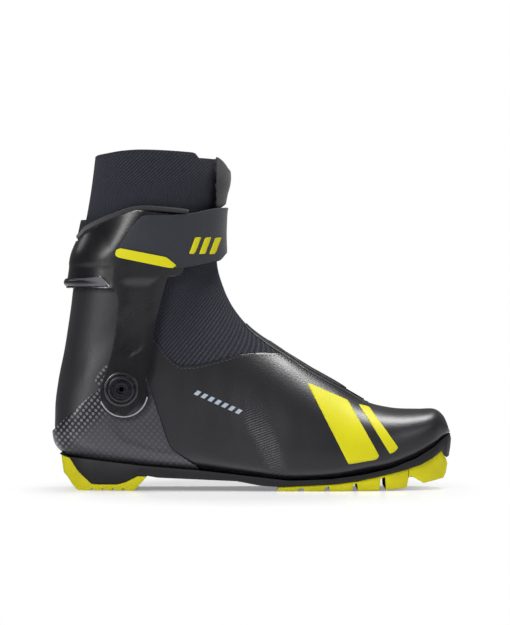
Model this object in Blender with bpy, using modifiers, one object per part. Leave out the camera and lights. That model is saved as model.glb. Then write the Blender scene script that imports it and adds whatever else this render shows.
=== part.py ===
"""Cross-country skating boot, right foot, size 42, as an assembly of separate pieces.

Frame: +X towards the toe, +Y towards the inner (medial) side, +Z up, origin on the
ground under the middle of the boot. Outlines are written in millimetres.
"""
import math

import bmesh
import bpy
import numpy as np
from mathutils import Matrix, Vector
from mathutils.bvhtree import BVHTree

MM = 0.001
GAP = 0.3                    # clearance between touching pieces
SOFT_GAP = 0.5               # clearance between one soft layer and the next
FAR = 400.0                  # beyond every outline

# Driving dimensions
SKIN = 2.0                   # softshell and knit thickness
LINER = 3.0                  # bootie and collar lining
CUP_OUT = 2.0                # outer face of the heel cup above the skin
ARM_IN, ARM_OUT = 3.3, 6.0   # cuff wall, measured from the skin
PAD_OUT = 3.0                # cuff padding
STRAP_IN, STRAP_OUT = 6.4, 8.0
RING_POINTS = 20             # points round each section
PIVOT = (-97.4, 75.8)        # cuff hinge, x and z
STATIC_RADIUS = 74.5         # fixed soft parts behind the pivot stay inside this radius, clear of the cuff

# The skin of the boot as sections that fan out from the toe, over the instep and round
# the heel to the collar. Each row: outer x, z (sole, heel, back), inner x, z (toe top,
# instep, shin), half width, centre y, widest fraction, lower and upper squareness.
STATIONS = np.array([
    (148.9, 41.8, 148.9, 45.0, 9.0, 7.0, 0.40, 2.6, 2.4),
    (147.4, 40.8, 147.3, 50.0, 15.0, 6.5, 0.38, 3.0, 2.4),
    (143.6, 38.4, 144.0, 56.0, 21.5, 6.5, 0.32, 3.4, 2.5),
    (136.5, 32.4, 137.5, 60.2, 30.0, 6.0, 0.30, 3.8, 2.6),
    (123.0, 24.3, 124.5, 60.2, 37.5, 4.5, 0.28, 4.2, 2.6),
    (104.0, 16.9, 105.0, 61.2, 44.0, 2.5, 0.26, 4.6, 2.5),
    (83.0, 12.4, 84.0, 66.8, 47.5, 1.0, 0.24, 4.8, 2.2),
    (59.0, 9.2, 62.0, 80.8, 48.0, -0.5, 0.22, 7.0, 1.95),
    (28.0, 8.0, 36.0, 96.8, 45.0, -2.5, 0.22, 8.0, 1.85),
    (-6.0, 11.7, 15.0, 109.8, 41.0, -3.0, 0.24, 8.0, 1.8),
    (-42.0, 15.8, -1.0, 121.4, 37.7, -2.7, 0.28, 7.0, 1.8),
    (-82.0, 18.9, -11.5, 133.2, 36.0, -1.7, 0.32, 6.0, 1.85),
    (-122.0, 23.6, -18.5, 145.0, 35.2, -1.0, 0.36, 5.0, 1.9),
    (-145.5, 33.0, -23.5, 158.0, 34.4, -0.5, 0.42, 4.0, 1.95),
    (-148.6, 58.0, -25.8, 167.0, 33.8, 0.0, 0.46, 3.0, 2.0),
    (-146.2, 82.0, -26.5, 175.0, 33.6, 0.0, 0.50, 2.4, 2.05),
    (-141.5, 106.0, -26.8, 183.0, 34.0, 0.0, 0.50, 2.3, 2.1),
    (-137.2, 134.0, -27.0, 192.0, 34.6, 0.0, 0.50, 2.25, 2.15),
    (-135.0, 152.0, -26.8, 200.0, 35.2, 0.0, 0.50, 2.2, 2.2),
    (-131.5, 175.0, -26.2, 210.0, 36.0, 0.0, 0.50, 2.2, 2.2),
    (-125.5, 203.0, -24.0, 222.0, 37.0, 0.0, 0.50, 2.2, 2.2),
    (-121.0, 230.0, -21.5, 238.0, 38.0, 0.0, 0.50, 2.2, 2.2),
    (-117.0, 264.0, -30.0, 264.0, 38.5, 0.0, 0.50, 2.2, 2.2),
])
TOE, TOP = 0.0, len(STATIONS) - 1.0

# Side-view lines, x and z
RAND = [(-152, 28.9), (-144.5, 27.3), (-136.9, 24.9)]
RAND += [(row[0], row[1] - GAP) for row in STATIONS[12::-1]] + [(151, 43)]
TREAD = [(17.2, 3.3), (40.3, 4.3), (62, 5.6), (78.3, 7.6), (94.5, 11), (114.9, 15.8), (125.8, 19.1),
         (135.3, 23.9), (142.7, 29.3)]
HEEL_SEAT = [(-144, 26.4), (-136.9, 24.5), (-130.2, 14.7), (-120.3, 5.4), (-117.4, 4.9),
             (-100.5, 4.9), (-94.8, 6.5), (-85.4, 11.2), (-77.9, 11)]
ARCH = [(-70.3, 9.7), (-54.7, 8.8), (-27.6, 8), (-11.3, 7.3), (6.4, 4)]
VAMP_SEAM = [(-90, 128), (-73, 112.5), (-63.5, 100.9), (-56.9, 95.2), (-51.1, 93.1), (-39.6, 93.9),
             (-20.1, 98.7), (-9.5, 101.6), (20.6, 102.6), (160, 102.6)]
STATIC_TOP = [(-95, 151), (-60, 150.5), (-43, 148), (-25, 142.5), (-8, 138), (160, 131)]
COLLAR_RIM = [(-160, 158), (-104, 160.5), (-60, 163.5), (-20, 170), (20, 176)]
COLLAR_TOP = [(-160, 250.5), (-117.8, 252.2), (-99, 254.3), (-80.6, 255), (-41, 253), (-37.5, 249.5),
              (10, 248.6)]
PADDING_TOP = [(-160, 203.5), (-125.7, 203.5), (-107.9, 204.4), (-93.9, 210.9), (-86, 213),
               (-70, 212.8), (-54, 210.4)]
QUARTER_SPLIT = -86.0        # softshell seam under the arm

# Instep and closures
INSTEP = (4.6, 116.7)        # upper end of the instep's straight, x and z
INSTEP_WAY = (0.8464, -0.5327)
INSTEP_OUT = Vector((0.5327, 0, 0.8464))
ZIP_Y = 10.0
SHAFT_X = -72.0              # middle of the shaft
STRAP_END, ANCHOR_END = 24, 27   # where the strap and its anchor meet, degrees past the front
RIDGE = [(-30, 141), (-8, 126), (6.5, 112.8), (21.2, 102.8), (34.4, 92.7), (42.6, 84.5), (52.1, 80),
         (74.1, 68.2), (86, 63.3)]

PARTS = "cross_country_boot"
CUTTERS = "cutters"


def clear_scene():
    for obj in list(bpy.data.objects):
        bpy.data.objects.remove(obj, do_unlink=True)
    for name in (PARTS, CUTTERS):
        found = bpy.data.collections.get(name)
        if found:
            bpy.data.collections.remove(found)
        group = bpy.data.collections.new(name)
        bpy.context.scene.collection.children.link(group)


def material(name, colour, roughness, metallic=0.0):
    mat = bpy.data.materials.get(name) or bpy.data.materials.new(name)
    mat.use_nodes = True
    shader = mat.node_tree.nodes["Principled BSDF"]
    shader.inputs["Base Color"].default_value = (*colour, 1.0)
    shader.inputs["Roughness"].default_value = roughness
    shader.inputs["Metallic"].default_value = metallic
    return mat


def store(obj, mat=None, cutter=False):
    """Put an object in its collection with its material."""
    for group in list(obj.users_collection):
        group.objects.unlink(obj)
    bpy.data.collections[CUTTERS if cutter else PARTS].objects.link(obj)
    if cutter:
        obj.hide_render = True
        obj.display_type = "WIRE"
    else:
        obj.data.materials.clear()
        obj.data.materials.append(mat)
    return obj


def object_from(name, bm):
    mesh = bpy.data.meshes.new(name)
    bm.normal_update()
    bm.to_mesh(mesh)
    bm.free()
    obj = bpy.data.objects.new(name, mesh)
    bpy.context.scene.collection.objects.link(obj)
    return obj


# ------------------------------------------------------------------ the skin surface
def station(t):
    """Catmull-Rom reading of the stations table."""
    last = len(STATIONS) - 1
    i = min(int(t), last - 1)
    f = t - i
    a, b, c, d = (STATIONS[min(max(k, 0), last)] for k in (i - 1, i, i + 1, i + 2))
    return 0.5 * (2 * b + (c - a) * f + (2 * a - 5 * b + 4 * c - d) * f ** 2
                  + (3 * b - 3 * c + d - a) * f ** 3)


def skin_point(t, phi):
    """A point of the skin: phi 0 at the outer line, rising round the lateral side."""
    ox, oz, ix, iz, half, mid, widest, low, up = station(t)
    c, s = math.cos(phi), math.sin(phi)
    power = 2.0 / (low if c > 0 else up)
    along = widest * (1 - abs(c) ** power) if c > 0 else widest + (1 - widest) * abs(c) ** power
    side = math.copysign(abs(s) ** power, -s) * half
    return Vector((ox + (ix - ox) * along, mid + side, oz + (iz - oz) * along))


def sock(name, offset, start=TOE, end=TOP):
    """Closed solid under the skin surface, moved out by offset, from the toe to the top."""
    bm = bmesh.new()
    rings = []
    count = int(round(end - start)) + 1
    for i in range(count):
        t = start + (end - start) * i / (count - 1)
        rings.append([bm.verts.new(skin_point(t, 2 * math.pi * k / RING_POINTS))
                      for k in range(RING_POINTS)])
    for a, b in zip(rings, rings[1:]):
        for k in range(RING_POINTS):
            m = (k + 1) % RING_POINTS
            bm.faces.new((a[k], a[m], b[m]))
            bm.faces.new((a[k], b[m], b[k]))
    bm.faces.new(rings[0][::-1])
    bm.faces.new(rings[-1])
    bmesh.ops.recalc_face_normals(bm, faces=bm.faces)
    bm.normal_update()
    moves = [v.normal * offset for v in bm.verts]
    for v, move in zip(bm.verts, moves):
        v.co = (v.co + move) * MM
    return object_from(name, bm)


# ------------------------------------------------------------------ solids and cuts
def prism(name, outline, low, high, axis="Y"):
    """A flat outline extruded along Y (outline in x, z) or along Z (outline in x, y)."""
    curve = bpy.data.curves.new(name, "CURVE")
    curve.dimensions = "2D"
    curve.fill_mode = "BOTH"
    curve.extrude = (high - low) / 2 * MM
    spline = curve.splines.new("POLY")
    spline.points.add(len(outline) - 1)
    for point, (u, v) in zip(spline.points, outline):
        point.co = (u * MM, v * MM, 0, 1)
    spline.use_cyclic_u = True
    drawn = bpy.data.objects.new(name + "_outline", curve)
    if axis == "Y":
        drawn.rotation_euler.x = math.pi / 2
        drawn.location.y = (low + high) / 2 * MM
    else:
        drawn.location.z = (low + high) / 2 * MM
    bpy.context.scene.collection.objects.link(drawn)
    bpy.context.view_layer.update()
    solid = bpy.data.meshes.new_from_object(drawn.evaluated_get(bpy.context.evaluated_depsgraph_get()))
    bm = bmesh.new()
    bm.from_mesh(solid)
    bmesh.ops.remove_doubles(bm, verts=bm.verts, dist=1e-7)
    bmesh.ops.transform(bm, matrix=drawn.matrix_world, verts=bm.verts)
    bmesh.ops.recalc_face_normals(bm, faces=bm.faces)
    bpy.data.objects.remove(drawn, do_unlink=True)
    return object_from(name, bm)


def cut(obj, tool, operation="DIFFERENCE"):
    mod = obj.modifiers.new(tool.name, "BOOLEAN")
    mod.operation = operation
    mod.solver = "EXACT"
    mod.object = tool
    if tool.name not in bpy.data.collections[CUTTERS].objects:
        store(tool, cutter=True)


def shifted(line, dz):
    return [(x, z + dz) for x, z in line]


def below(line, dz=0.0):
    """Everything under a line that runs towards +X."""
    return shifted(line, dz) + [(line[-1][0], -FAR), (line[0][0], -FAR)]


def above(line, dz=0.0):
    return shifted(line, dz) + [(line[-1][0], FAR), (line[0][0], FAR)]


def band(line, low, high):
    """The strip between two shifted copies of a line."""
    return shifted(line, low) + shifted(line, high)[::-1]


def arc(centre, radius, start, end, steps):
    """Points on an arc, angles in degrees from +X."""
    angles = np.radians(np.linspace(start, end, steps))
    return [(centre[0] + radius * math.cos(a), centre[1] + radius * math.sin(a)) for a in angles]


def layer(name, mat, inner, outer, region, start=TOE, end=TOP, regions=()):
    """The part of the boot's wall between two offsets of the skin, inside side-view regions."""
    obj = store(sock(name, outer, start, end), mat)
    for i, outline in enumerate((region, *regions)):
        cut(obj, prism(f"{name}_region_{i}", outline, -FAR, FAR), "INTERSECT")
    cut(obj, inner)
    return obj


def turned(name, mat, profile, centre, side, steps=20):
    """A profile of radius and height, turned about the Y axis through centre, out on one side."""
    bm = bmesh.new()
    verts = [bm.verts.new((r * MM, 0, h * MM)) for r, h in profile]
    for a, b in zip(verts, verts[1:]):
        bm.edges.new((a, b))
    if profile[0][0] > 0:
        bm.edges.new((verts[-1], verts[0]))
    obj = object_from(name, bm)
    screw = obj.modifiers.new("turn", "SCREW")
    screw.axis = "Z"
    screw.steps = screw.render_steps = steps
    screw.use_merge_vertices = True
    screw.merge_threshold = 1e-6
    obj.rotation_euler.x = -side * math.pi / 2
    obj.location = Vector(centre) * MM
    return store(obj, mat, cutter=mat is None)


# ------------------------------------------------------------------ places on the skin
class Skin:
    """Finds points on the skin by casting rays at it."""

    def __init__(self):
        probe = sock("probe", 0.0)
        bm = bmesh.new()
        bm.from_mesh(probe.data)
        self.tree = BVHTree.FromBMesh(bm)
        bm.free()
        bpy.data.objects.remove(probe, do_unlink=True)

    def from_side(self, x, z, side):
        """Distance of the skin from the middle plane, on one side."""
        start = Vector((x, side * FAR, z)) * MM
        return abs(self.tree.ray_cast(start, Vector((0, -side, 0)))[0].y) / MM

    def on_instep(self, s, y):
        """Point and normal along the straight of the instep, s from its upper end."""
        start = Vector((INSTEP[0] + s * INSTEP_WAY[0], y, INSTEP[1] + s * INSTEP_WAY[1]))
        return self.tree.ray_cast((start + INSTEP_OUT * FAR / 4) * MM, -INSTEP_OUT)[:2]


# ------------------------------------------------------------------ sole unit
def plan_outline(grow):
    """Outline of the foot seen from above, read from the sections, with a round heel."""
    heel_x, heel_rx, heel_ry = -112.0, 35.5, 34.5
    side = [(row[0], row[4], row[5]) for row in (station(t) for t in np.arange(0, 10.6, 0.5))]
    lateral = [(x, y0 - half - grow) for x, half, y0 in side]
    medial = [(x, y0 + half + grow) for x, half, y0 in side]
    heel = [(heel_x - (heel_rx + grow) * math.sin(a), (heel_ry + grow) * -math.cos(a))
            for a in np.linspace(0.15, math.pi - 0.15, 13)]
    tip = [(150.3 + grow * 0.5, 12.0), (150.3 + grow * 0.5, 2.0)]
    return tip + lateral + heel + medial[::-1]


def tread_height(x):
    xs, zs = zip(*TREAD)
    return float(np.interp(x, xs, zs))


def sole_piece(name, mat, outline, grow, low=-FAR / 4, high=FAR / 4):
    obj = store(prism(name, outline, low, high), mat)
    cut(obj, prism(name + "_plan", plan_outline(grow), -5, 60, axis="Z"), "INTERSECT")
    return obj


def lug_outline():
    """The forefoot tread seen from the side: a thin web with five lugs."""
    web, lug_ends = 1.7, [(19.2, 34.2), (38.9, 53.9), (57.9, 74.9), (79.0, 95.2), (100.0, 115.6)]
    bottoms = [(0.0, 0.0), (0.0, 0.0), (0.0, 0.0), (0.0, 0.3), (0.6, 2.2)]
    points = []
    for i, ((start, end), (rear, front)) in enumerate(zip(lug_ends, bottoms)):
        if i:
            points.append((start - 0.6, tread_height(start) - GAP - web))
        points += [(start, rear), (end, front)]
        if i < len(lug_ends) - 1:
            points.append((end + 0.6, tread_height(end) - GAP - web))
    points.append((117.0, 9.3))
    top = [(x, z - GAP) for x, z in TREAD if 19 < x < 117]
    return points + [(117.0, tread_height(117.0) - GAP)] + top[::-1] + [(19.2, tread_height(19.2) - GAP)]


def heel_pad_outline():
    notches, width, depth = (-119.0, -111.0, -103.5, -95.7), 2.0, 1.5
    ground = [(-129.5, 0.0)]
    for x in notches:
        ground += [(x - width / 2, 0.0), (x - width / 2, depth), (x + width / 2, depth), (x + width / 2, 0.0)]
    ground += [(-88.0, 0.0), (-82.5, 6.0), (-78.4, 10.6)]
    back = [(-143.3, 25.9), (-141.3, 12.9), (-138.3, 10), (-134.9, 4.8), (-131.4, 0.8)]
    return back + ground + [(x, z - GAP) for x, z in HEEL_SEAT[1:-1]][::-1]


def build_sole(mats):
    chassis = RAND[1:-1] + [(149.6, 42.0), (150.6, 37.6), (149.9, 31.5), (148.6, 24.8), (146.4, 23.9)]
    chassis += TREAD[::-1] + ARCH[::-1] + HEEL_SEAT[::-1]
    sole_piece("outsole_chassis", mats["chassis"], chassis, 1.2)
    sole_piece("heel_tread_pad", mats["yellow_rubber"], heel_pad_outline(), 0.4)

    lugs = lug_outline()
    groove_in, groove_out, lug_front = 11.0, 17.0, 117.3
    sole_piece("forefoot_tread_lateral", mats["yellow_rubber"], lugs, -0.4, -80, -groove_out)
    sole_piece("forefoot_tread_medial", mats["yellow_rubber"], lugs, -0.4, groove_out, 80)
    store(prism("forefoot_tread_center", lugs, -groove_in, groove_in), mats["yellow_rubber"])

    insert_rear, insert_front, insert_half = 117.4, 128.1, 24.0
    block = [(lug_front, 9.6), (119.2, 10.7), (128.5, 5.3), (144.1, 8.7), (146.1, 12.8), (147.4, 19.5),
             (146.1, 23.3), (142.6, 28.9)]
    block += [(x, tread_height(x) - GAP) for x in (135.3, 125.8, lug_front)]
    block = sole_piece("toe_tread_block", mats["yellow_rubber"], block, -0.2)
    pocket = [(100, 0), (insert_front + GAP, 0), (insert_front + GAP, 60), (100, 60)]
    cut(block, prism("insert_pocket", pocket, -insert_half - GAP, insert_half + GAP))

    bar_x, bar_z, bar_r, bar_half, slot_half = 123.2, 12.0, 2.0, 18.0, 12.5
    insert = [(insert_rear, 9.6), (insert_front, 9.6)]
    insert += [(x, tread_height(x) - GAP) for x in (insert_front, 125.8, insert_rear)]
    holder = store(prism("toe_bar_insert", insert, -insert_half, insert_half), mats["chassis"])
    slot = [(110, 0), (135, 0), (135, 15.2), (110, 15.2)]
    cut(holder, prism("bar_slot", slot, -slot_half, slot_half))
    bpy.ops.mesh.primitive_cylinder_add(vertices=16, radius=(bar_r + GAP) * MM,
                                        depth=2 * (bar_half + GAP) * MM, rotation=(math.pi / 2, 0, 0),
                                        location=(bar_x * MM, 0, bar_z * MM))
    hole = bpy.context.object
    hole.name = "bar_hole"
    cut(holder, hole)
    bpy.ops.mesh.primitive_cylinder_add(vertices=16, radius=bar_r * MM, depth=2 * bar_half * MM,
                                        rotation=(math.pi / 2, 0, 0), location=(bar_x * MM, 0, bar_z * MM))
    bar = bpy.context.object
    bar.name = "toe_bar"
    bar.data.shade_smooth()
    bar.data.set_sharp_from_angle(angle=math.radians(40))
    store(bar, mats["steel"])


# ------------------------------------------------------------------ upper and lining
def static_back():
    """Side-view region of the fixed soft parts behind the arm."""
    return [(QUARTER_SPLIT - GAP, -10)] + arc(PIVOT, STATIC_RADIUS, 81.7, 150, 9) + [(-200, 100), (-200, -10)]


def build_upper(mats, inner):
    front = [(QUARTER_SPLIT, -50), (QUARTER_SPLIT, FAR), (FAR, FAR), (FAR, -50)]
    layer("vamp_softshell", mats["softshell"], inner["skin"], 0.0, below(VAMP_SEAM), 0, 15, [front])
    layer("ankle_fabric", mats["knit"], inner["skin"], 0.0, above(VAMP_SEAM, GAP), 6, TOP,
          [front, below(STATIC_TOP)])
    layer("rear_softshell", mats["softshell"], inner["skin"], 0.0, static_back(), 9, TOP)

    liner_top = STATIC_TOP[1:] + [(FAR, 100), (FAR, -FAR), (-FAR, -FAR), (-FAR, 100)]
    liner_top += arc(PIVOT, STATIC_RADIUS, 150, 92, 6)
    liner = layer("bootie_liner", mats["lining"], inner["liner"], -SKIN - SOFT_GAP, liner_top, 1)
    board_thick, insole_thick = 1.7, 5.0
    board_low = SKIN + 2 * GAP
    board_high = board_low + board_thick
    cut(liner, prism("board_space", band(RAND, -10, board_high + 2 * GAP), -FAR, FAR))
    board = store(sock("lasting_board", -SKIN - 2 * GAP, 1, 15), mats["board"])
    cut(board, prism("board_band", band(RAND[2:-1], board_low, board_high), -FAR, FAR), "INTERSECT")
    bootie_floor = SKIN + LINER + 2 * SOFT_GAP
    insole = store(sock("insole", -bootie_floor - 1.2, 2, 15), mats["insole"])
    insole_band = band(RAND[2:-2], bootie_floor - 2, bootie_floor + insole_thick)
    cut(insole, prism("insole_band", insole_band, -FAR, FAR), "INTERSECT")


def build_heel_cup(mats, inner):
    upper = [(-160, 35), (-150.6, 43.7), (-112.5, 78.5)] + arc(PIVOT, 21, 165, 25, 7)
    front = [(-75.2, 73.1), (-71.8, 63), (-66.1, 46), (-63.5, 38.3), (-58.6, 30.1), (-39.7, 16.9)]
    outline = upper + front + [(-39.7, 15.9), (-74.3, 18.6), (-104.7, 22.2), (-136.9, 25.6), (-160, 29)]
    return layer("carbon_heel_cup", mats["carbon"], inner["cup"], CUP_OUT, outline, 9, TOP)


# ------------------------------------------------------------------ cuff and collar
def cuff_outline():
    top = [(-160, 170), (-160, 187.6), (-131.6, 187.6), (-123.9, 193.6), (-103.8, 202.5),
           (-87.9, 207.9), (-66, 206.5), (-50.5, 204)]
    wing = [(-50.5, 166.5), (-52.1, 162.7), (-56.2, 159.8), (-63.1, 159.8)]
    arm = [(-64.1, 156.8), (-72, 125), (-75, 99.2), (-78.2, 85)]
    disc = arc((-95.4, 72.7), 18.1, 35, -205, 15)
    rear = [(-105.8, 99), (-99.9, 139.9), (-102.6, 151)]
    return top + wing + arm + disc + rear + [(-160, 152.2)]


def build_cuff(mats, inner):
    cuff = layer("cuff_shell", mats["cuff"], inner["cuff"], ARM_OUT, cuff_outline(), 9, TOP)
    pad_region = PADDING_TOP + [(-52, 208.5), (-52, 176), (-58, 166), (-104, 162.5), (-160, 162)]
    layer("cuff_padding", mats["padding"], inner["padding"], PAD_OUT, pad_region, 9, TOP)
    bumper = [(-160, 153), (-160, 157.5), (-137.5, 157.5), (-131.2, 155.5), (-131.2, 153)]
    layer("cuff_bumper", mats["cuff"], inner["trim"], ARM_OUT + 2.2, bumper, 9, TOP)
    inlay = [(-129.7, 158.6), (-112.1, 160), (-106.9, 153.4), (-129.7, 153.2)]
    for name, side in (("inlay_lateral", -1), ("inlay_medial", 1)):
        piece = layer(name, mats["inlay"], inner["trim"], ARM_OUT + 1.0, inlay, 9, TOP)
        square = [(-200, 0), (0, 0), (0, side * 90), (-200, side * 90)]
        cut(piece, prism(name + "_half", square, 140, 170, axis="Z"), "INTERSECT")
    layer("collar_fabric", mats["knit"], inner["skin"], 0.0, above(COLLAR_RIM), 9, TOP,
          [below(COLLAR_TOP)])
    layer("collar_lining", mats["lining"], inner["liner"], -SKIN - SOFT_GAP, above(COLLAR_RIM, 0.5), 9, TOP,
          [below(COLLAR_TOP, -1.2)])
    return cuff


def build_pivots(mats, skin, cuff, cup):
    """Screw, dished ring, bushing and T-nut on each side, on the cuff's hinge axis."""
    for side, label in ((-1, "lateral"), (1, "medial")):
        y = skin.from_side(PIVOT[0], PIVOT[1], side)
        centre = (PIVOT[0], side * y, PIVOT[1])
        turned(f"pivot_nut_{label}", mats["steel"],
               [(3.0, 4.4), (3.0, -1.0), (9.0, -1.0), (9.0, -2.2), (2.4, -2.2), (2.4, 4.4)],
               centre, side)
        turned(f"pivot_bushing_{label}", mats["bushing"],
               [(6.0, 5.2), (6.0, 2.7), (3.4, 2.7), (3.4, 5.2)], centre, side)
        turned(f"pivot_ring_{label}", mats["chassis"],
               [(11.2, 8.0), (13.0, 7.6), (13.0, 5.5), (3.4, 5.5), (3.4, 6.3), (10.6, 6.3)], centre, side)
        screw = turned(f"pivot_screw_{label}", mats["chassis"],
                       [(0, 8.6), (9.4, 8.6), (10.2, 7.8), (10.2, 6.6), (2.1, 6.6), (2.1, -2.0), (0, -2.0)],
                       centre, side)
        socket = turned(f"socket_{label}", None, [(0, 9.6), (2.5, 9.6), (2.5, 6.9), (0, 6.9)], centre, side, 6)
        cut(screw, socket)
        bore = turned(f"arm_bore_{label}", None, [(0, 12), (6.3, 12), (6.3, -4), (0, -4)], centre, side)
        cut(cuff, bore)
        seat = turned(f"arm_seat_{label}", None, [(0, 15), (13.4, 15), (13.4, 5.2), (0, 5.2)], centre, side)
        cut(cuff, seat)
        cut(cup, turned(f"cup_bore_{label}", None, [(0, 9), (3.3, 9), (3.3, -9), (0, -9)], centre, side))
        recess = turned(f"nut_recess_{label}", None, [(0, 5), (9.4, 5), (9.4, -2.6), (0, -2.6)], centre, side)
        for name in ("rear_softshell", "vamp_softshell", "bootie_liner"):
            cut(bpy.data.objects[name], recess)


# ------------------------------------------------------------------ closures
def plan_cut(obj, outline, low=-10, high=FAR):
    cut(obj, prism(obj.name + "_plan", outline, low, high, axis="Z"), "INTERSECT")


def past_front(degrees):
    """Plan outline of everything on the lateral side, round to an angle past the front."""
    reach = 150.0
    end = (SHAFT_X + reach * math.cos(math.radians(degrees)), reach * math.sin(math.radians(degrees)))
    return [(-200, -90), (end[0], -90), end, (SHAFT_X, 0), (-200, 0)]


def build_zip(mats, inner, skin):
    ridge = RIDGE + [(86, 120), (-30, 150)]
    placket = layer("instep_placket", mats["softshell"], inner["cup"], 1.9, ridge, 5, 15)
    plan_cut(placket, [(-25, -40), (100, -40), (100, 3.5), (-25, 3.5)])
    cut(placket, prism("instep_placket_top", shifted(below(STATIC_TOP), -1), -FAR, FAR), "INTERSECT")
    run = [(-30, 150), (110, 62), (110, 200), (-30, 200)]
    rows = (("zip_tape", "tape", "cup", 1.1, 11.0, (-2, 72)), ("zip_coil", "coil", "coil", 2.4, 3.6, (0, 71)))
    for name, mat, space, out, width, (start, end) in rows:
        piece = layer(name, mats[mat], inner[space], out, shifted(run, -32), 5, 15)
        near, away = ZIP_Y - width / 2, ZIP_Y + width / 2
        plan_cut(piece, [(start, near), (end, near), (end, away), (start, away)])

    slider_at, slider_size, slider_height = 5.0, (10, 7.5, 2.4), 4.9
    seat, normal = skin.on_instep(slider_at, ZIP_Y)
    way = Vector((INSTEP_WAY[0], 0, INSTEP_WAY[1]))
    out = (normal - normal.dot(way) * way).normalized()
    turn = Matrix((way, out.cross(way), out)).transposed().to_euler()
    bpy.ops.mesh.primitive_cube_add(size=1)
    slider = bpy.context.object
    slider.name = "zip_slider"
    slider.scale = Vector(slider_size) * MM
    bpy.ops.object.transform_apply(location=False, rotation=False, scale=True)
    slider.location = seat + out * slider_height * MM
    slider.rotation_euler = turn
    edge = slider.modifiers.new("edges", "BEVEL")
    edge.width, edge.segments = 0.8 * MM, 1
    store(slider, mats["steel"])

    outline = [(0, -2.2), (5, -2.6), (19, -2.0), (21, 0), (19, 2.0), (5, 2.6), (0, 2.2)]
    half_thick = 0.7
    pull = store(prism("zip_pull", outline, -half_thick, half_thick, axis="Z"), mats["pull"])
    pull.location = seat + out * (slider_height + slider_size[2] / 2 + GAP + half_thick) * MM
    pull.rotation_euler = turn


def build_strap(mats, inner):
    """The shin strap, its catch and anchor on the medial side, and the collar flap."""
    lower = [(-26.9, 171.7), (-54.1, 166.3), (-80, 169.5), (-100.5, 175.2)]
    upper = [(-99.9, 180.7), (-79, 204.4), (-46.4, 207.5), (-22.3, 212), (10, 214)]
    outline = [(10, 184), (-18.4, 178.7)] + lower + upper
    strap = layer("shin_strap", mats["strap"], inner["strap"], STRAP_OUT, outline, 9, TOP)
    plan_cut(strap, past_front(STRAP_END))
    tab_outline = [(-54.6, 166.7), (-61.7, 166.2), (-98, 174.3), (-101.4, 175.6), (-101.8, 178.5),
                   (-99.9, 181), (-64.1, 174.3)]
    tab = layer("strap_tab", mats["yellow_trim"], inner["tab"], STRAP_OUT + GAP + 0.9, tab_outline, 9, TOP)
    plan_cut(tab, [(-200, -90), (0, -90), (0, 0), (-200, 0)])

    reach = 150.0
    end = (SHAFT_X + reach * math.cos(math.radians(ANCHOR_END)), reach * math.sin(math.radians(ANCHOR_END)))
    anchor = layer("strap_anchor", mats["strap"], inner["strap"], STRAP_OUT, outline, 9, TOP)
    plan_cut(anchor, [(SHAFT_X, 0), end, (-200, end[1]), (-200, 0)])
    catch_outline = [(10, 186), (-18, 181), (-27, 174), (-49, 169), (-49, 204), (-22, 208), (10, 210)]
    catch = layer("strap_catch", mats["tape"], inner["catch"], ARM_OUT, catch_outline, 9, TOP)
    plan_cut(catch, [(SHAFT_X, 0), (40, 34), (40, 90), (-49, 90), (-49, 0)])

    flap_outline = [(-52, 212.8), (-27, 212.8), (-23.3, 213.2), (-16, 217.2), (10, 219), (10, 235),
                    (-16.4, 242.2), (-30.4, 250.2), (-52, 249.8)]
    flap = layer("collar_flap", mats["flap"], inner["flap"], 5.6, flap_outline, 9, TOP)
    plan_cut(flap, [(-26.9, -90), (60, -90), (60, 90), (-50, 90), (-50, 0), (-26.9, 0)])


def build():
    clear_scene()
    mats = {
        "softshell": material("softshell", (0.035, 0.035, 0.042), 0.55),
        "knit": material("knit", (0.038, 0.038, 0.05), 0.85),
        "flap": material("flap_fabric", (0.027, 0.026, 0.029), 0.7),
        "strap": material("strap_webbing", (0.027, 0.03, 0.045), 0.6),
        "lining": material("lining", (0.05, 0.05, 0.055), 0.9),
        "padding": material("padding", (0.05, 0.05, 0.055), 0.8),
        "board": material("lasting_board", (0.12, 0.12, 0.12), 0.7),
        "insole": material("insole_foam", (0.03, 0.03, 0.03), 0.9),
        "carbon": material("carbon_laminate", (0.05, 0.05, 0.055), 0.3),
        "cuff": material("moulded_cuff", (0.03, 0.03, 0.035), 0.3),
        "inlay": material("grey_inlay", (0.1, 0.1, 0.11), 0.4),
        "chassis": material("sole_plastic", (0.03, 0.03, 0.035), 0.45),
        "yellow_rubber": material("yellow_rubber", (0.6, 0.56, 0.005), 0.5),
        "yellow_trim": material("yellow_trim", (0.76, 0.72, 0.005), 0.5),
        "bushing": material("bushing", (0.5, 0.5, 0.5), 0.4),
        "steel": material("steel", (0.5, 0.5, 0.5), 0.3, 1.0),
        "tape": material("zip_tape", (0.02, 0.02, 0.02), 0.8),
        "coil": material("zip_coil", (0.02, 0.02, 0.02), 0.4),
        "pull": material("zip_pull", (0.76, 0.72, 0.005), 0.5),
    }
    inner = {
        "skin": sock("space_skin", -SKIN, 1),
        "liner": sock("space_liner", -SKIN - SOFT_GAP - LINER, 1.6),
        "cup": sock("space_cup", GAP),
        "padding": sock("space_padding", GAP),
        "cuff": sock("space_cuff", ARM_IN),
        "trim": sock("space_trim", ARM_OUT + GAP),
        "strap": sock("space_strap", STRAP_IN),
        "tab": sock("space_tab", STRAP_OUT + GAP),
        "catch": sock("space_catch", ARM_OUT - 1.1),
        "flap": sock("space_flap", 2.0),
        "coil": sock("space_coil", 1.4),
    }
    skin = Skin()
    build_sole(mats)
    build_upper(mats, inner)
    cup = build_heel_cup(mats, inner)
    cuff = build_cuff(mats, inner)
    build_pivots(mats, skin, cuff, cup)
    build_zip(mats, inner, skin)
    build_strap(mats, inner)


build()
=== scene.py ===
import math

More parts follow.
